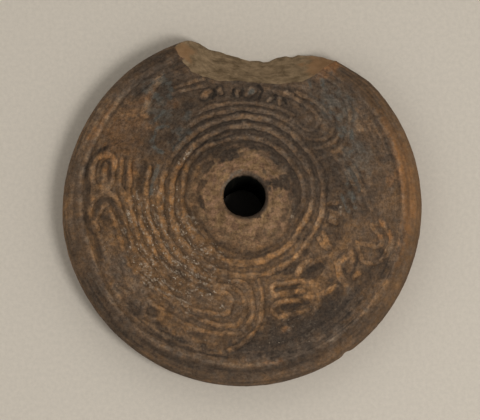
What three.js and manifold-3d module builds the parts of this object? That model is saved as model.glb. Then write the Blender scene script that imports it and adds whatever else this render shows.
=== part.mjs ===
// Clay spindle whorl: a low mould-made cone with a bore for the spindle, a bevelled rim,
// scroll ornament in low relief on the upper face, and a piece broken out of the rim.
// Millimetres and degrees, +Z up, underside on Z = 0, bore on the Z axis.
// Angles run anticlockwise from +X, seen from above.

import * as THREE from "three";
import { mergeVertices } from "three/addons/utils/BufferGeometryUtils.js";
import Module from "manifold-3d";

// Body
const OUTER_RADIUS = 29.8;
const HEIGHT = 16;
const BORE_RADIUS = 3.5;
const BORE_EDGE = 0.4;
const FOOT_RADIUS = 27.4;
const BELLY_HEIGHT = 3.4;
const BEVEL_RISE = 2.6;
const RIM_LINE_RADIUS = 26.8;
const RIM_LINE_RISE = 0.3;
const RIM_LINE_WIDTH = 1.2;
const CROWN_SLOPE = 0.415;
const COLLAR_RADIUS = 8.6;
const COLLAR_GROOVE = 0.45;
const COLLAR_GROOVE_WIDTH = 0.5;
const FIELD_SINK = 0.25;
const FIELD_MIDDLE_RADIUS = 18;
const SEGMENTS = 64;
const ARC_STEPS = 4;
const WELD_TOLERANCE = 1e-4;
const SLIVER = 0.035;

// How far the rim stands out of round: bearing, shift
const ROUND_WITHIN = 24;
const SHIFTED_BEYOND = 29;
const OUT_OF_ROUND = [
  [0, 0.2],
  [15, 0.33],
  [45, 0.46],
  [52, 0],
  [57, -0.2],
  [62, 0],
  [110, 0.1],
  [130, 0.1],
  [145, 0],
  [160, -0.18],
  [185, 0.18],
  [215, 0],
  [290, 0.1],
  [340, 0.03],
  [360, 0.2],
];

// Relief
const RIDGE_WIDTH = 1.2;
const RIDGE_HEIGHT = 0.45;
const RIDGE_TOP_SHARE = 0.4;
const RIDGE_ROOT = 0.35;
const RIDGE_END_SHARE = 0.45;
const RIDGE_STEP = 3;
const RIDGE_BEND_STEPS = 7;
const WORN_HEIGHT = 0.3;
const FINE_WIDTH = 0.95;
const BOLD_WIDTH = 1.35;
const BROAD_WIDTH = 1.9;
const RING_RADII = [8.9, 10.35, 12.4, 14.1];
const RING_STEP_START = -28;
const RING_STEP_SPAN = 48;
const RING_ENDS = [332, 332, 250];
const RING_SAMPLE = 15;
const FIGURE_AXIS = 335;

// Lines of the ornament, each a few points of bearing and radius
const BROAD_RING = { radius: 10.7, from: 198, to: 238 };
const SCROLL_TURNS = [
  [
    [262, 13.6], [269.2, 13.7], [274.2, 15.2], [275.5, 17.2], [275.2, 18.6], [272.8, 20.1], [268.7, 21.4],
    [262, 22],
  ],
  [
    [252, 14.9], [260, 14.7], [267, 15.2], [271, 16.7], [271.5, 17.9], [269.7, 19.5], [265.6, 20.5],
    [257, 20.8], [245, 20.7],
  ],
  [
    [250, 15.8], [256, 15.7], [260.5, 15.9], [263.3, 16.7], [263.8, 17.8], [261.9, 18.9], [256.9, 19.3],
    [247, 19.5], [236, 19.6],
  ],
];
const SCROLL_TAIL = [
  [280.2, 13.4], [280.8, 15.2], [280.5, 17], [279.2, 19.5], [274.3, 21.8], [267.8, 23.7], [264.4, 24.6],
];
const NEAR_RUNS = [
  [[160.5, 16.4], [171, 16], [180.5, 15.8], [197, 15.5], [220, 15.5], [242, 15.4]],
  [[184, 17.2], [200, 17], [222, 16.9], [242, 16.5]],
];
const FAR_RUNS = [{ radius: 15.3, from: 58, to: 132 }, { radius: 16.6, from: 60, to: 122 }];
const FAR_SASH = [[30, 16.7], [18, 17.6], [6, 18.7], [-3, 20]];
const FAR_SASH_STEP = 1.5;
const WEST_OVAL = { bearing: 166.4, radius: 23.7, halfBearing: 6.2, halfRadius: 1.6 };
const WEST_LINES = [
  [
    [236, 19.6], [208, 19.3], [195, 19.3], [186, 19.9], [179.3, 20.8], [176.2, 21.7], [175.3, 23],
    [176.6, 24.1], [180.3, 25], [184.1, 25.2], [188.1, 24.8], [190.9, 24.2],
  ],
  [
    [245, 20.7], [214, 21], [200, 21.1], [190.6, 21.4], [185.5, 21.6], [182, 22.1], [181, 22.8],
    [182.4, 23.5], [185.1, 24.1], [188.9, 24.2],
  ],
  [[164.8, 23.6], [170.5, 23.5]],
  [[160.1, 21.3], [165.8, 20.7], [171, 20.5], [175.2, 19.8], [179.7, 18.9]],
  [
    [159.5, 19.8], [166.7, 19.1], [172.3, 18.8], [178.6, 18.8], [184.4, 18.4], [191.7, 18.1], [206, 18.1],
    [232, 18.2],
  ],
  [[262, 22.2], [250, 22.3], [236, 22.2], [226, 22.3]],
];
const HAND_LINES = [
  [[311, 17.3], [307.6, 16.7], [301.8, 15.9], [295.4, 15.2], [289.8, 14.8], [287, 15.1]],
  [[287, 15], [286.6, 15.8], [288.4, 16.6]],
  [[288.4, 16.5], [293, 16.7], [297.5, 17], [303.9, 17.7]],
  [
    [299.9, 18.9], [294.5, 18], [289.7, 17.8], [286.1, 18.1], [284.4, 18.8], [285.1, 19.6], [287.5, 20],
    [290.5, 19.8], [292.8, 19.6],
  ],
  [[309.3, 20.3], [306.2, 20.9], [302.8, 21.4]],
  [[286, 22.4], [290, 22.4]],
];
const PALM_LINES = [
  [[302.5, 18.6], [305.6, 19.2], [308.4, 19.8]],
  [[306.4, 17.3], [309.6, 18.4], [309.6, 19.3]],
];
const EYE_LINE = [
  [318.8, 18.1], [313.4, 18.1], [310.7, 19], [311.2, 20.1], [315.2, 20.5], [318.3, 20.6], [319.9, 19.3],
  [318.8, 18.1],
];
const LOOP_LINES = [
  [[306.5, 15.2], [310.1, 14.6], [314.6, 14.5], [318.5, 15]],
  [[330, 18.7], [327.6, 19], [324.8, 19], [322.3, 19.8], [321.3, 20.8], [321.4, 21.7]],
  [[326.1, 18.2], [324.8, 19]],
  [[325.7, 22.1], [328.9, 22.5]],
  [[321.3, 15.9], [324.9, 16.4], [328.8, 17.2], [331.2, 17.4]],
  [[337.7, 14.1], [333.5, 15.1], [332, 16.2]],
  [[332.2, 13.9], [330.6, 14.8], [331, 15.9]],
  [[341, 19.4], [339.3, 20.3]],
  [[345, 15], [348, 15.6], [352, 16.4]],
  [
    [335.4, 21.1], [334.4, 22], [334.8, 23.1], [336.5, 24], [339.4, 24.9], [343.1, 25.2], [346.5, 25.2],
    [349, 24.7], [352, 23.7], [353.7, 23.1],
  ],
  [[349.9, 21.2], [348.3, 22.1], [346.7, 23.2], [345.1, 23.7], [342.9, 23.6]],
];
const LEAF_LINE = [[124, 25.2], [130, 24], [137.5, 22.2]];
const MARK_LINES = [
  [[102, 19.6], [101.7, 18.8]],
  [[93.1, 17.9], [92.3, 18.8]],
  [[75.9, 17.4], [74.8, 17.9]],
  [[69.8, 17.4], [70.6, 18.6]],
  [[68.4, 20], [65.3, 19.9]],
];
const BLOT_LINES = [
  [[110.6, 18.8], [107.3, 19.4]],
  [[87.3, 18.1], [85, 18.9]],
];
const OVAL_POINTS = 8;

// Broken rim: bearing, radius at the upper face, radius at the underside
const BREAK_OUTSIDE = 46;
const BREAK_SHARES = [-0.25, 0, 0.35, 0.7, 1, 1.5];
const BREAK_STATIONS = [
  [54, 34, 34],
  [56.5, 29.9, 31],
  [59, 27.2, 31],
  [62, 24.4, 31],
  [65, 22.7, 30.3],
  [68, 22, 29.2],
  [72, 21.1, 27.9],
  [80, 20.4, 26.1],
  [87, 20.1, 25.7],
  [95, 20.4, 26.8],
  [101, 20.8, 27.8],
  [105, 21.6, 30.7],
  [108, 22.6, 35],
  [111, 24, 38],
  [113, 25.8, 40],
  [114.5, 34, 42],
];

const wasm = await Module();
wasm.setup();

function lerp(from, to, share) {
  return from + (to - from) * share;
}

function crownHeight(radius) {
  return HEIGHT - CROWN_SLOPE * (radius - BORE_RADIUS - BORE_EDGE);
}

function fieldHeight(radius) {
  return crownHeight(radius) - FIELD_SINK;
}

function onPlan(bearing, radius) {
  const angle = THREE.MathUtils.degToRad(bearing);
  return new THREE.Vector3(radius * Math.cos(angle), radius * Math.sin(angle), 0);
}

// Solids and meshes

function solidOf(geometry) {
  const bare = geometry.clone();
  bare.deleteAttribute("normal");
  bare.deleteAttribute("uv");
  const merged = mergeVertices(bare, WELD_TOLERANCE);
  const vertProperties = new Float32Array(merged.attributes.position.array);
  const triVerts = new Uint32Array(merged.index.array);
  return new wasm.Manifold(new wasm.Mesh({ numProp: 3, vertProperties, triVerts }));
}

function geometryOf(solid) {
  const mesh = solid.getMesh();
  const geometry = new THREE.BufferGeometry();
  geometry.setAttribute("position", new THREE.BufferAttribute(mesh.vertProperties, 3));
  geometry.setIndex(new THREE.BufferAttribute(mesh.triVerts, 1));
  geometry.computeVertexNormals();
  return geometry;
}

// A closed skin over equal rows of points, joined row to row, with the two end rows capped.
function loft(rows) {
  const count = rows[0].length;
  const positions = rows.flat().flatMap((point) => [point.x, point.y, point.z]);
  const index = [];
  for (let row = 0; row + 1 < rows.length; row += 1) {
    for (let i = 0; i < count; i += 1) {
      const next = (i + 1) % count;
      const a = row * count + i;
      const b = row * count + next;
      index.push(a, b, a + count, b, b + count, a + count);
    }
  }
  const last = (rows.length - 1) * count;
  for (let i = 1; i + 1 < count; i += 1) {
    index.push(0, i + 1, i);
    index.push(last, last + i, last + i + 1);
  }
  const geometry = new THREE.BufferGeometry();
  geometry.setAttribute("position", new THREE.Float32BufferAttribute(positions, 3));
  geometry.setIndex(index);
  return geometry;
}

// Turned body: underside, rounded belly, bevel, rim line, field, collar and bore.
function bodyProfile() {
  const bevelWidth = OUTER_RADIUS - FOOT_RADIUS;
  const points = [new THREE.Vector2(BORE_RADIUS + BORE_EDGE, 0)];
  for (let i = 0; i <= ARC_STEPS; i += 1) {
    const angle = (i / ARC_STEPS - 1) * (Math.PI / 2);
    const radius = FOOT_RADIUS + bevelWidth * Math.cos(angle);
    points.push(new THREE.Vector2(radius, BELLY_HEIGHT * (1 + Math.sin(angle))));
  }
  for (let i = 1; i < ARC_STEPS; i += 1) {
    const angle = (i / ARC_STEPS) * (Math.PI / 2);
    const radius = FOOT_RADIUS + bevelWidth * Math.cos(angle);
    points.push(new THREE.Vector2(radius, BELLY_HEIGHT + BEVEL_RISE * Math.sin(angle)));
  }
  const rimFoot = RIM_LINE_RADIUS - RIM_LINE_WIDTH / 2;
  points.push(new THREE.Vector2(RIM_LINE_RADIUS, fieldHeight(RIM_LINE_RADIUS) + RIM_LINE_RISE));
  points.push(new THREE.Vector2(rimFoot, fieldHeight(rimFoot)));
  points.push(new THREE.Vector2(FIELD_MIDDLE_RADIUS, fieldHeight(FIELD_MIDDLE_RADIUS)));
  const grooveOuter = COLLAR_RADIUS + 2 * COLLAR_GROOVE_WIDTH;
  const grooveFloor = COLLAR_RADIUS + COLLAR_GROOVE_WIDTH;
  points.push(new THREE.Vector2(grooveOuter, fieldHeight(grooveOuter)));
  points.push(new THREE.Vector2(grooveFloor, crownHeight(grooveFloor) - COLLAR_GROOVE));
  points.push(new THREE.Vector2(COLLAR_RADIUS, crownHeight(COLLAR_RADIUS)));
  points.push(new THREE.Vector2(BORE_RADIUS + BORE_EDGE, HEIGHT));
  points.push(new THREE.Vector2(BORE_RADIUS, HEIGHT - BORE_EDGE));
  points.push(new THREE.Vector2(BORE_RADIUS, BORE_EDGE));
  points.push(points[0].clone());
  return points;
}

function roundShift(bearing) {
  const after = OUT_OF_ROUND.findIndex(([station]) => station >= bearing);
  if (after <= 0) return OUT_OF_ROUND[0][1];
  const [start, from] = OUT_OF_ROUND[after - 1];
  const [end, to] = OUT_OF_ROUND[after];
  return lerp(from, to, (bearing - start) / (end - start));
}

// The lathe's seam must stay closed, so both of its copies get the same shift.
function bodySolid() {
  const geometry = new THREE.LatheGeometry(bodyProfile(), SEGMENTS);
  geometry.rotateX(Math.PI / 2);
  const position = geometry.attributes.position;
  for (let i = 0; i < position.count; i += 1) {
    const x = position.getX(i);
    const y = position.getY(i);
    const radius = Math.hypot(x, y);
    const bearing = (THREE.MathUtils.radToDeg(Math.atan2(y, x)) + 360) % 360;
    const share = THREE.MathUtils.smoothstep(radius, ROUND_WITHIN, SHIFTED_BEYOND);
    const stretch = 1 + (roundShift(bearing) * share) / radius;
    position.setXY(i, x * stretch, y * stretch);
  }
  return solidOf(geometry);
}

// One raised stroke of the ornament, a tapered bar laid along a smooth line on the field.
function ridgeSolid({ line, width = RIDGE_WIDTH, height = RIDGE_HEIGHT }) {
  const curve = new THREE.CatmullRomCurve3(line.map(([bearing, radius]) => onPlan(bearing, radius)));
  const bendSteps = Math.min(RIDGE_BEND_STEPS, 2 * (line.length - 1));
  const steps = Math.max(bendSteps, Math.round(curve.getLength() / RIDGE_STEP));
  const rows = [];
  for (let i = 0; i <= steps; i += 1) {
    const centre = curve.getPointAt(i / steps);
    const along = curve.getTangentAt(i / steps);
    const side = new THREE.Vector3(-along.y, along.x, 0).normalize();
    const share = i === 0 || i === steps ? RIDGE_END_SHARE : 1;
    const corner = (offset, rise) => {
      const point = centre.clone().addScaledVector(side, offset);
      point.z = fieldHeight(Math.hypot(point.x, point.y)) + rise;
      return point;
    };
    const foot = (width / 2) * share;
    const top = foot * RIDGE_TOP_SHARE;
    rows.push([
      corner(-foot, -RIDGE_ROOT),
      corner(foot, -RIDGE_ROOT),
      corner(top, height * share),
      corner(-top, height * share),
    ]);
  }
  return solidOf(loft(rows));
}

// Lines worked out from the named sizes, as bearing and radius

function ringRadius(turn, bearing) {
  const share = THREE.MathUtils.smoothstep(bearing, RING_STEP_START, RING_STEP_START + RING_STEP_SPAN);
  return lerp(RING_RADII[turn], RING_RADII[turn + 1], share);
}

function sampled(from, to, radiusAt) {
  const steps = Math.ceil((to - from) / RING_SAMPLE);
  return Array.from({ length: steps + 1 }, (_, i) => {
    const bearing = lerp(from, to, i / steps);
    return [bearing, radiusAt(bearing)];
  });
}

function arcLine({ radius, from, to }) {
  return sampled(from, to, () => radius);
}

function ovalLine({ bearing, radius, halfBearing, halfRadius }) {
  return Array.from({ length: OVAL_POINTS + 1 }, (_, i) => {
    const angle = (i / OVAL_POINTS) * 2 * Math.PI;
    return [bearing + halfBearing * Math.cos(angle), radius + halfRadius * Math.sin(angle)];
  });
}

function mirrored(line) {
  return line.map(([bearing, radius]) => [2 * FIGURE_AXIS - bearing, radius]);
}

function stepped(line, step) {
  return line.map(([bearing, radius]) => [bearing, radius + step]);
}

// Three rings that step outwards by one place each time they pass the east side.
function ringRidges() {
  const rings = RING_ENDS.map((end, turn) => ({
    line: sampled(RING_STEP_START, end, (bearing) => ringRadius(turn, bearing)),
  }));
  return [...rings, { line: arcLine(BROAD_RING), width: BROAD_WIDTH }];
}

// The clear scroll in the south-west, and its worn mirror image in the north-east.
function scrollRidges() {
  const [outer, ...inner] = SCROLL_TURNS;
  const joined = inner.map((turn, i) => [...NEAR_RUNS[i], ...turn]);
  const near = [outer, ...joined, SCROLL_TAIL];
  const far = [
    ...[...SCROLL_TURNS, SCROLL_TAIL].map(mirrored),
    ...FAR_RUNS.map(arcLine),
    FAR_SASH,
    stepped(FAR_SASH, FAR_SASH_STEP),
  ];
  return [
    ...near.map((line) => ({ line, width: FINE_WIDTH })),
    ...far.map((line) => ({ line, width: FINE_WIDTH, height: WORN_HEIGHT })),
  ];
}

// Hook, oval, hand, eye and loops round the rest of the field.
function figureRidges() {
  return [
    { line: ovalLine(WEST_OVAL), width: BOLD_WIDTH },
    ...WEST_LINES.map((line) => ({ line, width: FINE_WIDTH })),
    ...[EYE_LINE, ...HAND_LINES, ...LOOP_LINES].map((line) => ({ line, width: BOLD_WIDTH })),
    ...PALM_LINES.map((line) => ({ line, width: BOLD_WIDTH, height: WORN_HEIGHT })),
  ];
}

// A leaf, and short worn marks in a row beside the break.
function northRidges() {
  return [
    { line: LEAF_LINE, width: BROAD_WIDTH },
    ...MARK_LINES.map((line) => ({ line, width: FINE_WIDTH, height: WORN_HEIGHT })),
    ...BLOT_LINES.map((line) => ({ line, width: BOLD_WIDTH, height: WORN_HEIGHT })),
  ];
}

// The piece lost from the rim, bounded by the sloping fracture.
function breakSolid() {
  const rows = BREAK_STATIONS.map(([bearing, upper, lower]) => {
    const faceHeight = fieldHeight(Math.min(upper, RIM_LINE_RADIUS));
    const corner = (radius, share) => onPlan(bearing, radius).setZ(faceHeight * share);
    const face = BREAK_SHARES.map((share) => corner(lerp(lower, upper, share), share));
    const outside = [BREAK_SHARES.at(-1), BREAK_SHARES[0]];
    return [...face, ...outside.map((share) => corner(BREAK_OUTSIDE, share))];
  });
  return solidOf(loft(rows));
}

function whorlGeometry() {
  const ridges = [...ringRidges(), ...scrollRidges(), ...figureRidges(), ...northRidges()];
  const decorated = ridges.reduce((solid, ridge) => solid.add(ridgeSolid(ridge)), bodySolid());
  return geometryOf(decorated.subtract(breakSolid()).simplify(SLIVER));
}

const clay = new THREE.MeshStandardMaterial({ color: 0x6a4c34, roughness: 0.75, metalness: 0 });
const whorl = new THREE.Mesh(whorlGeometry(), clay);
whorl.name = "whorl";

const object = new THREE.Group();
object.add(whorl);

export default object;
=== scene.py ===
"""Weathered clay spindle whorl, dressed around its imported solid.

The file is laid out as an add-on and run as a script. Property groups hold the sizes and colours, one
operator makes the whorl, one sets the stage, and a panel in the sidebar lists them. The lines of the
ornament are in millimetres and degrees, anticlockwise from +X seen from above. Blender's own objects are in
metres.
"""

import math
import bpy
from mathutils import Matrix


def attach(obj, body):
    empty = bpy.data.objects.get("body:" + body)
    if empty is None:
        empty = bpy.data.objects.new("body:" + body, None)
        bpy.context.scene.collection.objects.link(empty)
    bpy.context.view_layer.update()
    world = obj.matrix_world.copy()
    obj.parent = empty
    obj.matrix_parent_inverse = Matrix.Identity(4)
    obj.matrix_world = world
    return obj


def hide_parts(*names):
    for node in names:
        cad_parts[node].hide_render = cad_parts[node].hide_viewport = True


bl_info = {
    "name": "Clay spindle whorl",
    "version": (1, 0, 0),
    "blender": (4, 5, 0),
    "location": "View3D > Sidebar > Whorl",
    "description": "Makes a weathered clay spindle whorl with a broken rim, and a plain stage for it",
    "category": "Object",
}

import bmesh
import bpy
import numpy as np
from bpy.props import FloatProperty, FloatVectorProperty, PointerProperty
from mathutils import Matrix, Vector

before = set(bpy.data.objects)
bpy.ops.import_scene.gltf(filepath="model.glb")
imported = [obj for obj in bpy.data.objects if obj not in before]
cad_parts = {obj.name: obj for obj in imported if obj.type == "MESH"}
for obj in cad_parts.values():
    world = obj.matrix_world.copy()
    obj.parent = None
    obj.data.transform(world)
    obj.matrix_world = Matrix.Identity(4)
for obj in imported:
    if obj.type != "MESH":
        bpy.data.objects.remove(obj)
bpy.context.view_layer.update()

MM = 0.001
CLAY_NODE = "whorl"

# Turned form
BORE_EDGE = 0.4
RIM_FOOT = 25.4
BEVEL_START = 28.3
COLLAR_STEP = (-0.5, 1.0)
COLLAR_GROOVE = 0.3
COLLAR_GROOVE_WIDTH = 0.45
RIM_LINE_SPREAD = 0.36
OUTER_GROOVE = 0.8
INNER_GROOVE = -0.65
RIM_GROOVE_DEPTH = 0.12
RIM_GROOVE_SPREAD = 0.28
ROW_COUNTS = {"bore": 10, "lip": 4, "face": 106, "rim": 16, "bevel": 8, "belly": 12, "foot": 14}
COLUMNS = 540

# How far the rim stands out of round: bearing, shift
ROUND_WITHIN = 24
SHIFTED_BEYOND = 29
OUT_OF_ROUND = [
    (0, 0.2), (15, 0.33), (45, 0.46), (52, 0), (57, -0.2), (62, 0), (110, 0.1), (130, 0.1), (145, 0),
    (160, -0.18), (185, 0.18), (215, 0), (290, 0.1), (340, 0.03),
]
NICK_BEARING = 305.4
NICK_SPREAD = 1.3
NICK_DEPTH = 0.3

# How far the rim line, the rings and the innermost ring stray from their circles: bearing, shift
RIM_WAVER = [
    (0, 0.05), (20, 0.25), (45, 0.2), (116, 0.1), (138, 0.25), (152, -0.15), (167, 0.1), (182, -0.1),
    (200, -0.5), (220, 0.15), (240, 0.25), (260, 0), (300, 0), (320, 0.15), (340, 0.25),
]
RING_WAVER = [
    (10, -0.5), (30, -0.8), (50, -0.4), (70, -0.05), (90, -0.15), (110, -0.35), (130, -0.45),
    (150, -0.45), (175, -0.5), (195, -0.3), (215, -0.05), (235, -0.1), (255, 0.22), (275, 0.18),
    (292, 0.3), (322, 0.33), (352, 0),
]
INNER_WAVER = [
    (60, 0), (90, -0.2), (112, 0), (138, 0.8), (152, 0.7), (166, 0.1), (185, 0.1), (207, -0.4),
    (222, -0.3), (240, -0.1), (260, 0.2), (300, 0), (340, 0), (358, 0.3),
]

# Rings that step outwards as they pass +X, and how bare each one is
RING_RADII = [8.9, 10.35, 12.4, 14.1]
RING_STEP_START = -28
RING_STEP_SPAN = 48
RING_ENDS = [332, 332, 250]
RING_SAMPLE = 8
RING_BARE = [0.78, 0.85, 0.9]

# Raised lines of the ornament: bearing, radius. A run is a radius, where it starts and where it ends
PATH_STEP = 0.15
FIGURE_AXIS = 335
BROAD_RING = (10.2, 200, 238)
SCROLL_TURNS = [
    [(262, 13.6), (269.2, 13.7), (274.2, 15.2), (275.5, 17.2), (275.2, 18.6), (272.8, 20.1),
     (268.7, 21.4), (262, 22)],
    [(252, 14.9), (260, 14.7), (267, 15.2), (271, 16.7), (271.5, 17.9), (269.7, 19.5), (265.6, 20.5),
     (257, 20.8), (245, 20.7)],
    [(250, 15.8), (256, 15.7), (260.5, 15.9), (263.3, 16.7), (263.8, 17.8), (261.9, 18.9),
     (256.9, 19.3), (247, 19.5), (236, 19.6)],
]
SCROLL_TAIL = [
    (280.2, 13.4), (280.8, 15.2), (280.5, 17), (279.2, 19.5), (274.3, 21.8), (267.8, 23.7), (264.4, 24.6),
]
NEAR_RUNS = [
    [(160.5, 16.4), (171, 16), (180.5, 15.8), (197, 15.5), (220, 15.5), (242, 15.4)],
    [(184, 17.2), (200, 17), (222, 16.9), (242, 16.5)],
]
FAR_RUNS = [(15.3, 58, 132), (16.6, 60, 122)]
FAR_SASH = [(30, 16.7), (18, 17.6), (6, 18.7), (-3, 20)]
FAR_SASH_STEP = 1.5
WEST_FRAME = [
    (173.4, 23.4), (173.2, 24.4), (171.4, 25.1), (168.1, 25.4), (164.2, 25.5), (161.7, 25.1),
    (160.4, 24.2), (160.3, 23.1), (161.9, 22.3), (166.3, 22), (170.4, 21.8), (172.7, 22.2), (173.4, 23.2),
]
WEST_LINES = [
    [(236, 19.6), (208, 19.3), (195, 19.4), (185.7, 20.1), (181.4, 20.5), (177.7, 21.1), (175.7, 22.2),
     (175.6, 23.2), (176.9, 24.3), (178.8, 25), (181.2, 25.3), (184.2, 25.1), (187.3, 24.6),
     (190.7, 24.1)],
    [(245, 20.7), (214, 21), (205, 21.2), (197.5, 21.3), (193.4, 21.2), (188.6, 21.4), (185, 21.7),
     (182.2, 22), (181.2, 22.6), (181.8, 23.2), (183.9, 23.7), (186, 24.2)],
    [(160.1, 21.3), (165.8, 20.7), (171, 20.5), (175.2, 19.8), (179.7, 18.9)],
    [(159.5, 19.8), (166.7, 19.1), (172.3, 18.8), (178.6, 18.8), (184.4, 18.4), (191.7, 18.1),
     (206, 18.1), (232, 18.2)],
    [(262, 22.2), (250, 22.3), (236, 22.2), (226, 22.3)],
]
HAND_LINES = [
    [(311, 17.3), (307.6, 16.7), (301.8, 15.9), (295.4, 15.2), (289.8, 14.8), (287, 15.1),
     (286.6, 15.8), (288.4, 16.5), (293, 16.7), (297.5, 17), (303.9, 17.7)],
    [(299.9, 18.9), (294.5, 18), (289.7, 17.8), (286.1, 18.1), (284.6, 18.8), (285.3, 19.5),
     (286.8, 20), (292.5, 20.2)],
    [(311, 19.9), (312.4, 20.3), (315.2, 20.5), (317.9, 20.6)],
    [(286.7, 22), (289.5, 22.1)],
]
PALM_LINES = [
    [(302.5, 18.6), (305.6, 19.2), (308.4, 19.8)],
    [(306.4, 17.3), (309.6, 18.4), (309.6, 19.3)],
    [(310.2, 17.3), (311.2, 18.1), (310.6, 19)],
    [(309.1, 20.4), (306.1, 20.9), (302.8, 21.4)],
    [(318.9, 18.1), (316, 18), (313.2, 18.2)],
    [(321.3, 15.9), (324.9, 16.4), (328.8, 17.2), (331.2, 17.4)],
    [(347.8, 14.1), (350.4, 15.2), (352.9, 16.4)],
    [(335.8, 19.2), (333.8, 19.8), (331.1, 20.5)],
]
LOOP_LINES = [
    [(306.5, 15.2), (310.1, 14.6), (314.6, 14.5), (318.5, 15)],
    [(334.8, 19.5), (330.8, 19), (326.5, 18.6)],
    [(325.7, 22.1), (328.9, 22.5)],
    [(337.7, 14.1), (333.5, 15.1), (332, 16.2)],
    [(332.2, 13.9), (330.6, 14.8), (331, 15.9)],
    [(339.2, 20), (336.5, 20.9), (334.9, 21.5), (334.5, 22.3), (334.9, 23.1), (336.5, 24),
     (339.4, 24.9), (343.1, 25.2), (346.5, 25.2), (349, 24.7), (352, 23.7), (353.7, 23.1)],
]
THICK_LINES = [
    [(165.8, 23.6), (168.2, 23.5), (170.6, 23.3)],
    [(326.5, 18.6), (324.2, 19.4), (322.4, 20.3), (321.5, 21.5)],
]
THIN_LINES = [
    [(350.1, 21.7), (347.4, 23), (344.8, 23.8), (342.5, 23.2), (342, 21.4), (340.9, 19.8)],
    [(346.7, 14.3), (347.1, 15.6)],
    [(357.3, 14.1), (358.1, 14.8), (358.2, 15.5)],
]
RUBBED_LINES = [
    [(226.8, 23.2), (228.4, 24.4), (232, 24.5), (234.6, 23.6), (234.2, 22.5)],
    [(242.5, 24.8), (242.6, 23.6), (245.7, 22.9), (250.1, 22.9)],
    [(244.7, 23.5), (244.6, 24.6)],
    [(250.5, 24.3), (254, 24)],
    [(214, 24.8), (218.1, 24.3), (220.3, 25.3)],
    [(205.2, 23.6), (209.8, 23.2), (212, 24)],
    [(297.9, 20.4), (295.6, 20.4), (291.9, 20.6), (288.2, 21.1)],
    [(292.5, 20.2), (301.2, 20.8)],
    [(120, 22.5), (112.7, 22.2), (107.5, 21.9)],
    [(122, 21.6), (113.3, 21.1), (107, 20.5)],
]
LEAF_LINE = [(124, 25.2), (130, 24), (137.5, 22.2)]
MARK_WIDTH = 0.9
MARK_LINES = [
    [(102, 19.6), (101.7, 18.8)],
    [(93.1, 17.9), (92.3, 18.8)],
    [(75.9, 17.4), (74.8, 17.9)],
    [(69.8, 17.4), (70.6, 18.6)],
    [(68.4, 20), (65.3, 19.9)],
]
BLOT_WIDTH = 1.5
BLOT_LINES = [
    [(110.6, 18.8), (107.3, 19.4)],
    [(87.3, 18.1), (85, 18.9)],
]

# Lines drawn into the clay: bearing, radius
SCORE_DEPTH = 0.15
BROAD_SCORE = 1.1
BROAD_SCORES = [
    [(157.4, 24.5), (159.6, 25.7), (162.4, 26.2), (166.3, 26.4), (169.6, 26.3), (174, 25.9),
     (178.5, 25.9), (183.9, 25.9), (189, 25.6), (192.7, 25), (196, 24.9), (200.1, 25.2)],
    [(185.6, 24.6), (182.7, 24.3), (180.5, 24), (178.9, 23.4), (178.7, 22.3), (180, 21.4),
     (183.1, 20.7), (186.1, 20.6)],
    [(320, 16.6), (314, 16), (308, 16)],
    [(289.6, 18.8), (295.9, 19.1), (302.4, 19.6)],
]
FINE_SCORE = 0.7
FINE_SCORES = [
    [(169.8, 23.9), (166.2, 24.2), (163.7, 24.2), (162.2, 23.8), (163.1, 23.1), (165.5, 22.7),
     (169.4, 22.3)],
    [(165.5, 20), (173, 19.6)],
    [(186.5, 20.8), (191, 20.2), (198, 20.1)],
    [(305.5, 16.8), (298.1, 16.2), (290, 15.6)],
    [(287.4, 17.1), (294.8, 17.4), (302.3, 18.2)],
    [(338, 20.2), (334.7, 20.8), (330.7, 21.3)],
    [(352, 14.1), (345, 14)],
    [(355.6, 14.2), (354.8, 15.5)],
    [(335, 12.4), (326, 12.1)],
    [(105, 19.5), (104.9, 18.6), (107.1, 18)],
    [(94.8, 19), (95.4, 18.3), (94.1, 17.7)],
    [(89.8, 19.1), (90.2, 17.9)],
    [(82.1, 19.7), (80.4, 19), (81.3, 17.7)],
    [(72.8, 18.8), (72.2, 17.7)],
    [(68.3, 18.8), (66.2, 17.9)],
    [(222, 25.6), (236, 25.95), (250, 25.95), (264, 25.85)],
]
FAINT_SCORE = 0.5
FAINT_BARE = 0.6
FAINT_SCORES = [
    [(157.6, 24.5), (156.2, 23.8)],
    [(155.3, 23.4), (152.9, 22.5)],
]

# How strokes waver and round off
STRAY = 0.34
STRAY_CELL = 3.0
EDGE_WOBBLE = 0.2
EDGE_CELL = 1.4
HOLLOW_REACH = 0.36
RIDGE_TOP = 0.5
RIDGE_FOOT = 1.05

# How much of the relief has lasted: its mean, its noises as cell and amount, and its limits
KEPT_MEAN = 0.82
KEPT_NOISE = [(4.0, 0.42), (1.0, 0.40)]
KEPT_RANGE = (0.35, 1.1)

# Unevenness of the clay. Depths are shares of the grain
WAVE_CELL = 9.0
GRAIN_CELL = 0.9
PIT_CELL = 0.8
PIT_DEPTH = 1.6
PIT_EDGE = (0.35, 0.75)
STREAK_DEPTH = 0.8
STREAK_WIDTH = 0.45
STREAKS_AROUND = 2.5
SMOOTHED_PARTS = ("bevel", "belly", "foot")
SMOOTHED_GRAIN = 0.35

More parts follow.
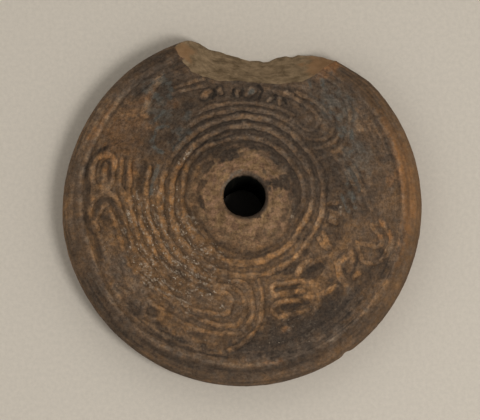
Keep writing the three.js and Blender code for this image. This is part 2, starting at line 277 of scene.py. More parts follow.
# Broken rim: bearing, radius at the upper face, radius at the underside
BREAK_STATIONS = [
    (54, 34, 34), (56.5, 29.9, 31), (59, 27.2, 31), (62, 24.4, 31), (65, 22.7, 30.3), (68, 22, 29.2),
    (72, 21.1, 27.9), (80, 20.4, 26.1), (87, 20.1, 25.7), (95, 20.4, 26.8), (101, 20.8, 27.8),
    (105, 21.6, 30.7), (108, 22.6, 35), (111, 24, 38), (113, 25.8, 40), (114.5, 34, 42),
]
BREAK_OUTSIDE = 46
BREAK_SHARES = (-0.25, 1.5)
BREAK_COLUMNS = 150
BREAK_ROWS = 46
BREAK_ROUNDING = 0.7
ROUNDING_REACH = 2
ROUNDING_SAMPLES = 17
BREAK_ROUGHNESS = [(4.0, 0.36), (1.4, 0.24), (0.6, 0.12)]
BREAK_SMOOTHED = 0.5

# One seed for each noise
SEEDS = {
    "wave": 11, "grain": 23, "pits": 27, "streaks": 31, "kept": (41, 43), "spared": 47, "edge": 51,
    "stray": (53, 57), "break": 61, "slow": 71, "slip": 83, "ochre": 89, "ash": 91, "bloom": 97,
    "fleck": 101, "dashes": 103, "speck": 107, "worn": 113,
}
WORD = 0xFFFFFFFF
CELL_PRIMES = (374761393, 668265263, 1442695041, 974711)
MIX_STEPS = [(13, 1274126177), (16, 668265263)]
LAST_SHIFT = 15

# Finish round the whorl, every 45 degrees from +X. Tones go from 0, dark slip, to 1, bare pale clay
BEARINGS = np.arange(0, 361, 45)
FIELD_TONE = [0.22, 0.19, 0.165, 0.17, 0.42, 0.34, 0.34, 0.32]
RIDGE_GAIN = [0.19, 0.19, 0.27, 0.24, 0.17, 0.08, 0.17, 0.29]
RIM_TONE = [0.26, 0.25, 0.24, 0.25, 0.30, 0.16, 0.17, 0.24]
WARMTH = [0.53, 0.34, 0.30, 0.46, 0.92, 0.88, 0.82, 0.80]
RIM_WARMTH = [1.00, 0.80, 0.55, 0.38, 0.55, 0.50, 0.45, 0.70]
# How light the bare collar is round the whorl: lightest to the north-west and west, as painted fill light
# against the key light's shade on that side
COLLAR_PAINTED_FILL = [0.97, 1.00, 1.02, 1.25, 1.10, 1.00, 1.02, 1.04]
COLLAR_EDGE = [8.8, 8.9, 9.2, 9.9, 9.6, 8.4, 9.3, 9.2]
RIM_LINE_GAIN = [0.14, 0.05, 0.05, 0.20, 0.10, 0.22, 0.18, 0.17]
GROOVE_SHADE = [0.80, 0.85, 1.00, 1.00, 0.62, 0.66, 0.70, 0.75]
RIM_GROOVE_SHADE = [0.30, 0.35, 0.35, 0.50, 0.50, 0.65, 0.65, 0.50]
RIM_CALM = [1.00, 0.60, 0.40, 0.30, 0.30, 0.20, 0.30, 0.50]
# Tone of the bore's lip: a painted highlight makes it lighter from north to west, where the far lip catches
# the light; it is darkest to the south-east
LIP_HIGHLIGHT_TONE = [0.06, 0.10, 0.26, 0.28, 0.24, 0.14, 0.06, 0.02]
LIP_WIDTH = [0.50, 0.50, 0.35, 0.30, 0.30, 0.55, 0.65, 0.72]
SLIP_TONE = 0.075
# Painted shade: near-black tone of the bore's wall, standing in for the shadow inside the deep hole
BORE_SHADE_TONE = 0.02
FOOT_TONE = 0.40
COLLAR_RING_TONE = 0.09

# The field grows more even from one radius to the other
EVEN_TONE = 0.25
EVEN_FROM = 12
EVEN_TO = 26
EVEN_SHARE = 0.6

# How the masks are mixed. A drift is the part of the slow noise in a value
SLOW_CELL = 5.0
TONE_DRIFT = 0.10
BARED_GAIN = 0.18
HOLLOW_MEAN = 0.75
HOLLOW_DRIFT = 0.9
RIDGE_BARE = (0.15, 0.95)
STREAK_TONE = 0.15
STREAKED_BETWEEN = (22.5, 26.0)
RIM_LINE_PAINT = 1.3 * RIM_LINE_SPREAD
RIM_LINE_MEAN = 0.8
RIM_GROOVE_MEAN = 0.6
RIM_GROOVE_DRIFT = 0.8
COLLAR_RING_SHADE = 0.765
LIP_SHADE = (0.2, 1.0)
BORE_WALL = 0.25
BORE_LIP = 0.5
FOOT_EDGE = 0.5
FOOT_DRIFT = 0.15
WARMTH_DRIFT = 0.25
OCHRE_WARMTH = 0.4
ASH_COOLING = 0.6
RIM_LINE_COOLING = 0.35
COLLAR_FADE = (-2.4, -0.3)
COLLAR_DRIFT = 1.3
LIP_FADE = 0.25
LIP_DRIFT = 0.4
HALF_GAIN = 0.5

# Soft patches by bearing: bearing, radius, half length round the whorl, half width outwards, amount
PATCH_STRAY = 0.65
PATCH_STRAY_CELL = 1.4
PATCH_STRAY_SEEDS = (11, 17)
PATCH_EDGE = (1.15, 0.7)
PATCH_RAGGED = [(1.6, 0.36, 0), (0.7, 0.38, 5)]

# Where the dark slip is whole
SLIP_PATCHES = [
    (0, 6.1, 0.5, 0.4, 0.7), (0, 7.6, 1.2, 0.6, 0.9), (2, 17.3, 3, 1.8, 0.65), (10, 8.6, 2, 1, 0.9),
    (10, 26.5, 2.2, 0.4, 0.4), (18, 4.2, 0.9, 0.5, 1), (18, 7.1, 1.6, 1.3, 1), (20, 5.1, 0.6, 0.5, 0.9),
    (20, 14.6, 6, 2.2, 0.6), (22, 5.6, 1.1, 1, 1), (27, 5.2, 1.3, 0.9, 1), (27, 8.9, 1.8, 1, 0.9),
    (29, 4.5, 0.9, 0.8, 1), (40, 13, 3, 1.4, 0.5), (45, 28.1, 7, 0.9, 0.5), (51, 5.1, 0.5, 0.4, 0.6),
    (52, 8.6, 1.9, 0.9, 1), (66, 7.5, 1.2, 0.4, 0.4), (66, 9, 1.2, 0.5, 0.9), (84, 8.7, 1.5, 0.6, 0.9),
    (85, 17.6, 2.6, 0.8, 0.7), (97, 7, 1, 0.45, 0.7), (106, 6.9, 1.4, 0.7, 1), (111, 28.4, 1.6, 0.9, 0.7),
    (113, 7.7, 1.9, 1, 1), (114, 25.8, 1.6, 1.6, 0.8), (120, 18.2, 1.3, 0.9, 0.9),
    (121, 10.2, 1.2, 0.5, 0.5), (122, 28.7, 6, 1, 0.8), (124, 8.6, 1.3, 0.9, 0.95),
    (124, 22.4, 2.8, 2.2, 0.75), (127, 14.8, 2, 0.9, 0.7), (130, 5, 0.6, 0.4, 0.6),
    (130, 11.6, 1.6, 0.7, 0.5), (131, 25.3, 1.6, 0.7, 0.6), (132, 19.2, 3, 2.4, 0.6),
    (138, 16.2, 1.8, 1, 0.8), (140, 7.9, 1.4, 0.9, 0.9), (141, 14.7, 1.6, 0.7, 0.5),
    (148, 17.2, 2.4, 1.6, 0.4), (152, 8.1, 1.2, 0.5, 0.7), (163, 7, 0.8, 0.5, 0.9),
    (168, 17.4, 3.4, 0.7, 0.75), (170, 7.4, 1.7, 0.6, 0.8), (181, 8.1, 1.5, 0.9, 0.6),
    (186, 7.1, 1.8, 0.6, 1), (187, 22.8, 1, 1, 0.6), (192, 12.2, 1.6, 1.2, 0.3),
    (200, 8.4, 1.6, 0.7, 0.7), (210, 7.1, 0.8, 0.4, 0.6), (216, 8.3, 1.6, 0.6, 0.8),
    (216, 21, 0.7, 0.6, 0.6), (220, 20.7, 1.2, 0.6, 0.5), (222, 7.2, 1, 0.5, 0.6),
    (222, 19.3, 0.8, 0.5, 0.5), (224.4, 25.2, 1.2, 0.9, 0.8), (230.7, 23.6, 0.9, 0.8, 0.8),
    (232, 16.2, 1.6, 0.8, 0.6), (236, 21.4, 0.9, 0.7, 0.6), (236.9, 24.6, 1.3, 0.8, 0.8),
    (240, 6.2, 0.8, 0.9, 0.6), (240, 6.7, 1.5, 0.8, 0.7), (240, 7.1, 0.8, 0.4, 0.7),
    (241, 14.7, 1.3, 0.7, 0.6), (241, 27.9, 3.4, 0.9, 0.5), (243, 25.2, 1.8, 0.7, 0.8),
    (246, 12, 2.4, 0.9, 0.25), (246, 16, 1.4, 0.5, 0.5), (251, 23.2, 1.2, 0.7, 0.6),
    (252, 8.4, 1.6, 0.7, 0.6), (257, 24.9, 1.6, 0.7, 0.8), (263, 23.4, 1.8, 1.4, 0.6),
    (265, 8, 1.2, 0.7, 0.5), (265, 25.3, 3.2, 0.8, 0.55), (272, 24.2, 4, 1.8, 0.9),
    (272, 25.6, 2.6, 0.9, 0.5), (282, 20.9, 1.3, 1.4, 0.9), (282.5, 17.4, 0.5, 2.2, 0.5),
    (284, 23.6, 5.5, 3, 0.95), (285, 5, 0.9, 0.35, 0.5), (290, 10.2, 0.9, 0.5, 0.5),
    (292, 19, 3, 1.4, 0.6), (293, 6.9, 1.3, 0.9, 0.5), (296, 23.2, 6, 3.4, 1), (297, 19, 1.2, 0.5, 0.8),
    (298.5, 13.2, 1.6, 0.5, 0.8), (299, 16.6, 1.2, 0.4, 0.8), (300, 17.7, 0.9, 0.5, 0.7),
    (300, 26.2, 2.4, 0.5, 0.4), (300, 26.7, 2.4, 0.5, 0.5), (301, 14.2, 1.2, 0.6, 0.9),
    (305, 4.1, 0.9, 0.4, 1), (308, 23.4, 6, 3.4, 1), (309, 13.7, 1, 0.5, 0.7), (312, 7.8, 1.4, 0.7, 0.45),
    (315, 16.6, 3, 0.9, 0.7), (318.2, 19.3, 0.6, 0.5, 0.8), (320, 13.5, 0.8, 0.7, 0.9),
    (320.7, 13.6, 0.6, 0.6, 0.9), (321, 24.2, 6, 2.6, 0.68), (325, 20.8, 2.6, 1.2, 0.6),
    (326.5, 21.2, 0.9, 0.6, 0.7), (330, 5.1, 0.5, 0.4, 0.7), (332, 7.1, 1, 0.4, 0.7),
    (334, 24.9, 4, 1.7, 0.85), (340, 7.2, 1.2, 0.4, 0.5), (340, 14.8, 1.2, 0.6, 0.5),
    (345, 15.8, 2.4, 1.6, 0.75), (350, 8.8, 1.7, 1, 0.9),
]
# Where redder clay shows
OCHRE_PATCHES = [
    (4, 27.6, 13, 1.4, 0.5), (10, 24.8, 1.8, 0.8, 0.6), (61, 27.5, 3, 3, 0.9),
    (108.5, 19.3, 1.7, 0.9, 0.2), (110, 27.5, 1.6, 2, 0.8), (125, 20.4, 1.4, 0.9, 0.6),
    (131, 24, 2, 0.8, 0.6), (146, 5.5, 2.4, 1.2, 0.5), (150, 23, 6, 3.6, 0.4), (150, 27.4, 5, 0.6, 0.45),
    (155, 11.6, 2, 0.7, 0.4), (164, 19.2, 2, 0.8, 0.45), (281, 26.7, 1.6, 0.5, 0.8),
    (288, 22.1, 0.9, 0.6, 0.9), (346.5, 23.4, 0.7, 0.5, 0.5), (348, 25, 1.2, 0.4, 0.6),
    (352, 23.3, 0.6, 0.6, 0.5),
]
# Where the slip is rubbed thin
WORN_PATCHES = [
    (16, 27.8, 5, 0.6, 0.5), (40, 22.6, 3.4, 2.2, 0.5), (48, 18, 3, 1.2, 0.4), (70, 9.1, 1.2, 0.5, 0.8),
    (72, 9.9, 1.6, 0.6, 0.4), (81, 19.3, 1.6, 0.6, 0.4), (90, 10.2, 1.4, 0.6, 0.4),
    (100, 19.2, 2.2, 0.7, 0.5), (110, 19.2, 1.6, 0.7, 0.5), (140, 19.3, 1.8, 0.8, 0.4),
    (150, 9.1, 2.2, 0.5, 0.5), (152, 28.1, 6, 0.6, 0.5), (162, 19.2, 2.2, 0.8, 0.5),
    (168, 27.4, 2.6, 0.4, 0.5), (169, 10.2, 1.6, 0.6, 0.8), (171, 18.7, 1.8, 1.2, 0.4),
    (200, 23.9, 2.6, 0.7, 0.5), (204, 16.4, 2.4, 1.2, 0.35), (212, 21.5, 2.4, 1.6, 0.35),
    (226, 9.3, 2.2, 0.6, 0.8), (270, 11.7, 1.6, 0.6, 0.6), (278, 16.5, 1.8, 2.6, 0.5),
    (287, 26.4, 3, 0.4, 0.5), (288, 22.1, 1.2, 0.7, 1), (290, 18, 1.2, 0.9, 0.8), (290, 19, 1, 0.6, 0.6),
    (301, 20.8, 1.4, 1.2, 0.4), (312, 12, 2, 1, 0.5), (320, 15.9, 1, 0.5, 0.9),
    (320, 16.2, 1.4, 0.7, 0.9), (330, 20.7, 1.4, 0.7, 0.9), (344, 13.2, 1.6, 0.6, 0.5),
    (345, 12.2, 2.6, 1.4, 0.4), (350, 14.3, 1.8, 1.6, 0.5), (352, 27.4, 3, 0.5, 0.5),
]
# Where the clay is greyer
ASH_PATCHES = [
    (184, 22.6, 6, 3, 0.3), (215, 23.8, 8, 2.6, 0.8), (245, 25.5, 8, 1.5, 0.6), (248, 21, 7, 2.4, 0.3),
    (295, 24.4, 14, 3.2, 0.9),
]
# Where strokes have lasted whole
SPARED_PATCHES = [
    (166, 23.6, 3.2, 2.6, 1), (181, 22.9, 4, 3, 1), (288, 17.4, 3, 3.4, 1), (312, 14.8, 2, 1, 0.9),
    (315, 20, 2, 1.6, 0.9), (324, 20.2, 2, 2.2, 1), (341, 24, 3.4, 2.2, 1),
]
# Where a blue-grey bloom lies, as patches and as lines
BLOOM_PATCHES = [
    (9, 18.6, 2.5, 1.5, 0.6), (22, 20.5, 4, 2.6, 0.45), (38, 21, 2.5, 1.3, 0.7),
    (48, 22.5, 4.5, 3.2, 0.45), (100, 4, 2, 0.3, 0.7), (122, 24.1, 0.9, 1.8, 0.7),
    (124, 17.1, 1.2, 0.8, 0.5), (126, 22, 1.2, 0.8, 0.6), (128, 25.2, 1.8, 1.2, 0.5),
    (128.5, 23.4, 0.7, 1.4, 0.7), (132, 20.6, 2.4, 2.2, 0.45), (135, 3.95, 1.6, 0.3, 0.7),
    (135, 15.2, 2.2, 1.2, 0.5), (140, 14, 1.6, 0.8, 0.6), (160, 3.9, 1, 0.25, 0.6),
]
BLOOM_WIDTH = 0.85
BLOOM_LINE_SHARE = 0.85
BLOOM_LINES = [
    [(149, 15.6), (148.7, 17.2), (146.6, 18.2), (143, 18.7), (139.1, 18.8), (135.4, 17.7)],
    [(139, 20.3), (134, 20.1), (128, 20.1)],
    [(37, 22.1), (32, 21.4), (27, 20.5), (26, 19.8)],
    [(46, 21), (40, 21), (37.5, 20.3), (36, 19.6)],
    [(58, 25), (56.5, 24)],
    [(62, 23.6), (60.5, 22.8)],
    [(86.3, 18.4), (85.2, 18.8)],
    [(158, 15.3), (167, 15.1), (176, 15.2)],
    [(6, 18.1), (-2, 18.5)],
    [(3, 16.2), (0, 16.8), (-5, 17.4)],
]
# Where lime flecks lie thick, and where specks are scattered
FLECK_BASE = 0.1
DASH_SIZE = (0.4, 0.9)
DASH_EDGE = (0.25, 0.6)
FLECK_PATCHES = [
    (88, 10.6, 0.9, 0.5, 0.8), (116, 16.6, 0.8, 0.4, 0.7), (143, 12.2, 2.2, 0.5, 1),
    (188, 19.1, 1.6, 0.5, 1), (194, 20.2, 0.8, 0.4, 0.8), (205, 16.5, 3, 0.5, 0.9),
    (213, 10.8, 1.2, 0.6, 0.9), (215, 15, 12, 6.5, 0.75), (226, 10, 1, 0.5, 0.9),
    (228, 21.7, 1.2, 0.4, 0.7), (232, 10.9, 2.2, 0.7, 1), (253, 24, 0.9, 0.6, 0.7),
    (335, 8.2, 0.5, 0.4, 0.9), (347.9, 15.4, 0.7, 0.6, 0.9), (353.8, 15.9, 0.7, 0.6, 0.9),
]
SPECK_PATCHES = [(215, 23.5, 10, 2.5, 0.4), (250, 23.5, 6, 2, 0.4), (295, 22.5, 12, 3, 0.45)]

# Noises of the materials, in features to a millimetre
MOTTLE_NOISE = {"Scale": 0.7, "Detail": 4.0, "Roughness": 0.6}
GRAIN_NOISE = {"Scale": 2.2, "Detail": 4.0, "Roughness": 0.82}
HUE_NOISE = {"Scale": 0.9, "Detail": 3.0, "Roughness": 0.6}
HUE_OFFSET = (37.0, 11.0, 5.0)
PIT_SCALE = 1.5
PIT_SPREAD = (0.22, 0.08)
FLECK_NOISE = {"Scale": 3.0, "Detail": 2.0}
FLECK_BREAKS = (0.35, 0.6)
SPECK_RISE = 0.2
SPECK_EDGE = (0.78, 0.86)
BUMP_DEPTH = 0.12
MOTTLE_RELIEF = 0.6
PIT_RELIEF = 0.5

# Slipped clay. Four numbers are a range and what it becomes
SLIP_COARSENESS = 1.0
CALM_SHARE = 0.65
MOTTLE_GAIN = 2.4
TONE_LEVEL = 1.05
PIT_SHADE = 0.3
LEAST_TONE = 0.2
HUE_GAIN = 1.8
WARM_STOPS = [(0.0, "slip"), (0.35, "umber"), (0.7, "ochre"), (1.0, "pale")]
COOL_STOPS = [(0.0, "slip"), (0.35, "ash"), (0.8, "bone"), (1.0, "bone")]
COLLAR_MOTTLE = (-0.6, 0.6, 1.1, 2.8)
COLLAR_HUE = (0.32, 0.68)
BLOOM_SPREAD = (0.37, 0.57)
BLOOM_SHARE = 0.75
SPECKLE_GAIN = 2.8
SLIP_ROUGHNESS = (0.0, 0.7, 0.65, 0.9)
SLIP_BUMP = 0.5
SLIP_SHINE = 0.06

# Broken clay
BREAK_COARSENESS = 1.3
BREAK_LAYERS = (350.0, 350.0, 1100.0)
LAYER_NOISE = {"Scale": 1.0, "Detail": 3.0}
LAYER_GAIN = 0.4
BREAK_GRAIN = 0.7
CORE_SPREAD = (0.55, 1.15)
EMBER_SHARE = 0.75
CORE_ROUGHNESS = (0.2, 0.8, 0.8, 0.95)
CORE_BUMP = 0.8
CORE_SHINE = 0.15

# Stage
PHOTO_SIZE = (480, 420)
OUTLINE_CENTRE = (242.1, 208.0)
CLIP_START = 0.01
CLIP_END = 100.0
FLOOR_HALF = 20.0
PAPER_NOISE = {"Scale": 1500.0, "Detail": 3.0, "Roughness": 0.7}
PAPER_SHADE = (0.25, 0.75, 0.95, 1.05)
PAPER_ROUGHNESS = 0.95
PAPER_SHINE = 0.1
SKY_FULL_TO = 0.74
SKY_DIM_FROM = 0.9
SKY_OVERHEAD = 0.03


def length(name, description, millimetres):
    """A size that a user may change, given in millimetres and kept in metres."""
    return FloatProperty(
        name=name, description=description, default=millimetres * MM, min=0.0, unit="LENGTH", precision=5
    )


def share(name, description, default):
    """A plain factor that a user may change."""
    return FloatProperty(name=name, description=description, default=default, min=0.0, subtype="FACTOR")


def colour(name, description, default):
    """A colour that a user may change, as linear red, green and blue."""
    return FloatVectorProperty(
        name=name, description=description, default=default, min=0.0, max=1.0, size=3, subtype="COLOR"
    )


def angle(name, description, degrees):
    """An angle that a user may change, given in degrees."""
    return FloatProperty(
        name=name, description=description, default=math.radians(degrees), subtype="ANGLE", unit="ROTATION"
    )


class WhorlForm(bpy.types.PropertyGroup):
    """Sizes of the turned body and its relief."""

    outer_radius: length("Outer radius", "Radius at the widest line", 29.8)
    height: length("Height", "Height of the bore's upper edge", 16)
    bore_radius: length("Bore radius", "Radius of the hole for the spindle", 3.5)
    foot_radius: length("Foot radius", "Radius of the flat underside", 27.4)
    belly_height: length("Belly height", "Height of the widest line", 3.4)
    bevel_rise: length("Bevel rise", "Height of the bevel above the widest line", 2.6)
    rim_line_radius: length("Rim line radius", "Radius of the thin line that closes the field", 26.8)
    rim_line_rise: length("Rim line rise", "How far that line stands up", 0.3)
    collar_radius: length("Collar radius", "Radius of the plain collar round the bore", 8.6)
    field_sink: length("Field sink", "How far the field lies under the collar's slope", 0.25)
    crown_slope: share("Crown slope", "Fall of the upper face for each unit outwards", 0.415)
    ridge_width: length("Ridge width", "Width of a stroke at its foot", 1.2)
    fine_width: length("Fine width", "Width of the finer strokes", 0.95)
    bold_width: length("Bold width", "Width of the strokes of the hand and the loops", 1.15)
    broad_width: length("Broad width", "Width of the broad strokes", 1.9)
    ridge_height: length("Ridge height", "Height of a clear stroke above the field", 0.42)
    worn_share: share("Worn share", "Height of a worn stroke, as a share of a clear one", 0.6)
    surface_wave: length("Surface wave", "Slow waves left by hand smoothing", 0.1)
    surface_grain: length("Surface grain", "Small pits and grains", 0.055)


class WhorlFinish(bpy.types.PropertyGroup):
    """Colours of the slip, the clay, what has settled on them, and the painted shade in the bore."""

    slip: colour("Slip", "Dark slip where it is whole", (0.029, 0.022, 0.017))
    umber: colour("Umber", "Slip worn thin", (0.167, 0.093, 0.0445))
    ochre: colour("Ochre", "Clay bared on the ridges", (0.365, 0.185, 0.073))
    pale: colour("Pale clay", "Clay where it is most worn", (0.520, 0.320, 0.165))
    ash: colour("Ash", "Grey tone of slip worn thin", (0.134, 0.096, 0.068))
    bone: colour("Bone", "Grey tone of bare clay", (0.330, 0.240, 0.155))
    blush: colour("Blush", "Tint of the redder clay", (1.0, 0.88, 0.82))
    collar: colour("Collar", "Bare clay round the bore, where it is yellower", (0.193, 0.117, 0.057))
    collar_pink: colour("Pink collar", "Bare clay round the bore, where it is redder", (0.198, 0.113, 0.066))
    bloom: colour("Bloom", "Blue-grey mineral bloom", (0.100, 0.108, 0.097))
    fleck: colour("Fleck", "White lime flecks", (0.400, 0.320, 0.235))
    # Painted shade: the bore's wall takes this near-black colour for the shadow deep in the hole
    bore_shade: colour("Bore shade", "Dark walls of the bore", (0.008, 0.008, 0.006))
    ember: colour("Ember", "Orange clay at the ends of the break", (0.270, 0.140, 0.060))
    core: colour("Core", "Clay inside, where the rim broke", (0.300, 0.208, 0.118))
    core_dark: colour("Dark core", "Darker parts of the break", (0.110, 0.072, 0.036))


class WhorlStage(bpy.types.PropertyGroup):
    """Floor, light and camera."""

    floor: colour("Floor", "Colour of the floor", (0.620, 0.560, 0.478))
    sky: colour("Sky", "Colour of the soft light all round", (1.0, 0.985, 0.95))
    sky_strength: share("Sky strength", "Strength of the soft light all round", 0.759)
    key_power: FloatProperty(
        name="Key power", description="Power of the key light", default=1.05, min=0.0, unit="POWER"
    )
    key_bearing: angle("Key bearing", "Where the key light stands, from +X", -40)
    key_height: angle("Key height", "Height of the key light above the floor", 58)
    key_distance: length("Key distance", "From the whorl to the key light", 500)
    key_size: length("Key size", "Width of the key light", 180)
    off_plumb: angle("Off plumb", "How far the camera leans from straight down", 9.5)
    view_bearing: angle("View bearing", "Side that the camera leans to, from +X", 259)
    view_width: length("View width", "Width of the picture at the whorl", 80)
    lens: FloatProperty(name="Lens", description="Focal length", default=300.0, min=1.0, unit="CAMERA")


# Shapes in numbers


def smoothstep(low, high, value):
    """0 below low, 1 above high, and a smooth rise between them."""
    part = np.clip((value - low) / (high - low), 0.0, 1.0)
    return part * part * (3.0 - 2.0 * part)


def mixed(first, second, part):
    """first at part 0, second at part 1."""
    return first + (second - first) * part


def lattice_value(x, y, z, seed):
    """A fixed random value from -1 to 1 for each cell of a lattice."""
    value = sum(number * prime for number, prime in zip((x, y, z, seed), CELL_PRIMES)) & WORD
    for shift, prime in MIX_STEPS:
        value = ((value ^ (value >> shift)) * prime) & WORD
    return (value ^ (value >> LAST_SHIFT)) / float(WORD >> 1) - 1.0


def lattice_noise(points, cell, seed):
    """Smooth noise from -1 to 1 at points, with features about one cell wide."""
    scaled = points / cell
    base = np.floor(scaled)
    inside = scaled - base
    fade = inside * inside * inside * (inside * (inside * 6.0 - 15.0) + 10.0)
    corner = base.astype(np.int64)
    total = np.zeros(len(points))
    for dx in (0, 1):
        for dy in (0, 1):
            for dz in (0, 1):
                weight = np.ones(len(points))
                for axis, step in enumerate((dx, dy, dz)):
                    weight = weight * (fade[:, axis] if step else 1.0 - fade[:, axis])
                value = lattice_value(corner[:, 0] + dx, corner[:, 1] + dy, corner[:, 2] + dz, seed)
                total += weight * value
    return total


def layered_noise(points, cell, layers, seed):
    """Noise of several sizes, each half as large and half as strong as the one before."""
    total = np.zeros(len(points))
    weight = 1.0
    whole = 0.0
    for layer in range(layers):
        total += weight * lattice_noise(points, cell / 2**layer, seed + layer)
        whole += weight
        weight *= 0.5
    return total / whole


def by_bearing(values, bearing):
    """A value round the whorl, from one for each 45 degrees."""
    return np.interp(bearing, BEARINGS, [*values, values[0]])


def bearing_of(points):
    """Bearing of each point, from 0 to 360 degrees."""
    return np.degrees(np.arctan2(points[:, 1], points[:, 0])) % 360


def radius_of(points):
    """Distance of each point from the bore's axis."""
    return np.hypot(points[:, 0], points[:, 1])


def streaks(points):
    """Noise drawn out round the bore, like the marks of smoothing on a turning base."""
    radius = radius_of(points)
    around = points[:, :2] / radius[:, None] * STREAKS_AROUND
    across = (radius - points[:, 2]) / STREAK_WIDTH
    return layered_noise(np.column_stack([across, around]), 1.0, 2, SEEDS["streaks"])


def wavered(stations, bearing):
    """A value round the whorl, from stations of bearing and value."""
    return np.interp(bearing, *zip(*stations), period=360)


def swell(away, spread):
    """1 at the middle of a line, falling softly to 0 at its sides."""
    return np.exp(-((away / spread) ** 2))


def plan_points(line):
    """Plan coordinates of points given as bearing and radius."""
    bearing, radius = np.array(line, float).T
    turn = np.radians(bearing)
    return np.stack([radius * np.cos(turn), radius * np.sin(turn)], axis=1)


def smooth_path(line):
    """A smooth path through a line's points, with a point every PATH_STEP."""
    given = plan_points(line)
    ends = [2 * given[0] - given[1], 2 * given[-1] - given[-2]]
    knots = np.vstack([ends[0], given, ends[1]])
    pieces = []
    for i in range(1, len(knots) - 2):
        before, start, end, after = knots[i - 1 : i + 3]
        steps = max(2, int(np.linalg.norm(end - start) / PATH_STEP))
        t = np.arange(steps)[:, None] / steps
        square = 2 * before - 5 * start + 4 * end - after
        cube = 3 * start - before - 3 * end + after
        pieces.append(start + 0.5 * ((end - before) * t + square * t**2 + cube * t**3))
    return np.vstack([*pieces, given[-1:]])


# Ornament


class Stroke:
    """One stroke: its path on plan, width and height, how dark its sides are and how bare its top is."""

    def __init__(self, line, width, height, hollow=1.0, bare=1.0):
        self.path = smooth_path(line)
        self.width = width
        self.height = height
        self.hollow = hollow
        self.bare = bare


def sampled(start, end, radius_at):
    """Points from one bearing to another, with a radius that depends on the bearing."""
    bearings = np.linspace(start, end, int((end - start) / RING_SAMPLE) + 2)
    return [(bearing, radius_at(bearing)) for bearing in bearings]


def arc_line(radius, start, end):
    """An arc round the bore."""
    return sampled(start, end, lambda bearing: radius)


def ring_line(turn):
    """A ring that steps outwards by one place as it passes +X."""
    inner, outer = RING_RADII[turn], RING_RADII[turn + 1]

    def radius_at(bearing):
        step = smoothstep(RING_STEP_START, RING_STEP_START + RING_STEP_SPAN, bearing)
        own = 0.0 if turn else wavered(INNER_WAVER, bearing)
        return mixed(inner, outer, step) + wavered(RING_WAVER, bearing) + own

    return sampled(RING_STEP_START, RING_ENDS[turn], radius_at)


def mirrored(line):
    """The line's image across the axis of the figures."""
    return [(2 * FIGURE_AXIS - bearing, radius) for bearing, radius in line]


def ornament(form):
    """Every raised stroke of the relief."""
    width, fine = form.ridge_width / MM, form.fine_width / MM
    bold, broad = form.bold_width / MM, form.broad_width / MM
    height = form.ridge_height / MM
    worn = height * form.worn_share
    scroll_lines = [SCROLL_TURNS[0], SCROLL_TAIL]
    scroll_lines += [run + turn for run, turn in zip(NEAR_RUNS, SCROLL_TURNS[1:])]
    far_lines = [mirrored(line) for line in [*SCROLL_TURNS, SCROLL_TAIL]]
    far_lines += [arc_line(*run) for run in FAR_RUNS]
    far_lines += [FAR_SASH, [(bearing, radius + FAR_SASH_STEP) for bearing, radius in FAR_SASH]]
    # Lines, width, height, how dark the sides are, how bare the top is
    kinds = [
        (HAND_LINES + LOOP_LINES, bold, height, 0.5, 1.0),
        (THIN_LINES, fine, height, 0.4, 1.0),
        (scroll_lines, fine, height, 1.0, 1.0),
        (WEST_LINES, fine, height, 0.55, 1.0),
        ([WEST_FRAME], bold, height, 0.3, 1.0),
        (THICK_LINES, BLOT_WIDTH, height, 0.5, 1.0),
        (far_lines, fine, worn, 0.7, 0.6),
        (RUBBED_LINES, fine, worn, 0.6, 0.6),
        (PALM_LINES, bold, worn, 0.1, 0.5),
        (MARK_LINES, MARK_WIDTH, worn, 1.0, 1.0),
        (BLOT_LINES, BLOT_WIDTH, worn, 1.0, 0.55),
        ([arc_line(*BROAD_RING)], broad, height, 1.0, 1.0),
        ([LEAF_LINE], broad, worn, 0.1, 1.0),
    ]
    strokes = [Stroke(ring_line(turn), width, height, bare=bare) for turn, bare in enumerate(RING_BARE)]
    for lines, *rest in kinds:
        strokes += [Stroke(line, *rest) for line in lines]
    return strokes


def scores():
    """Every stroke that is drawn into the clay."""
    strokes = [Stroke(line, BROAD_SCORE, SCORE_DEPTH) for line in BROAD_SCORES]
    strokes += [Stroke(line, FINE_SCORE, SCORE_DEPTH) for line in FINE_SCORES]
    strokes += [Stroke(line, FAINT_SCORE, SCORE_DEPTH / 2, bare=FAINT_BARE) for line in FAINT_SCORES]
    return strokes


def flattened(points):
    """Plan points as points in space, for the noise."""
    return np.column_stack([points, np.zeros(len(points))])


def strayed(points):
    """Plan points moved a little aside, so that strokes waver as if drawn by hand."""
    moves = [layered_noise(flattened(points), STRAY_CELL, 3, seed) for seed in SEEDS["stray"]]
    return points + STRAY * np.column_stack(moves)


def distance_to_path(points, path, block=64):
    """Distance from each plan point to the nearest point of a path."""
    nearest = np.full(len(points), np.inf)
    for start in range(0, len(path), block):
        part = path[start : start + block]
        dx = points[:, :1] - part[None, :, 0]
        dy = points[:, 1:2] - part[None, :, 1]
        nearest = np.minimum(nearest, (dx * dx + dy * dy).min(axis=1))
    return np.sqrt(nearest)


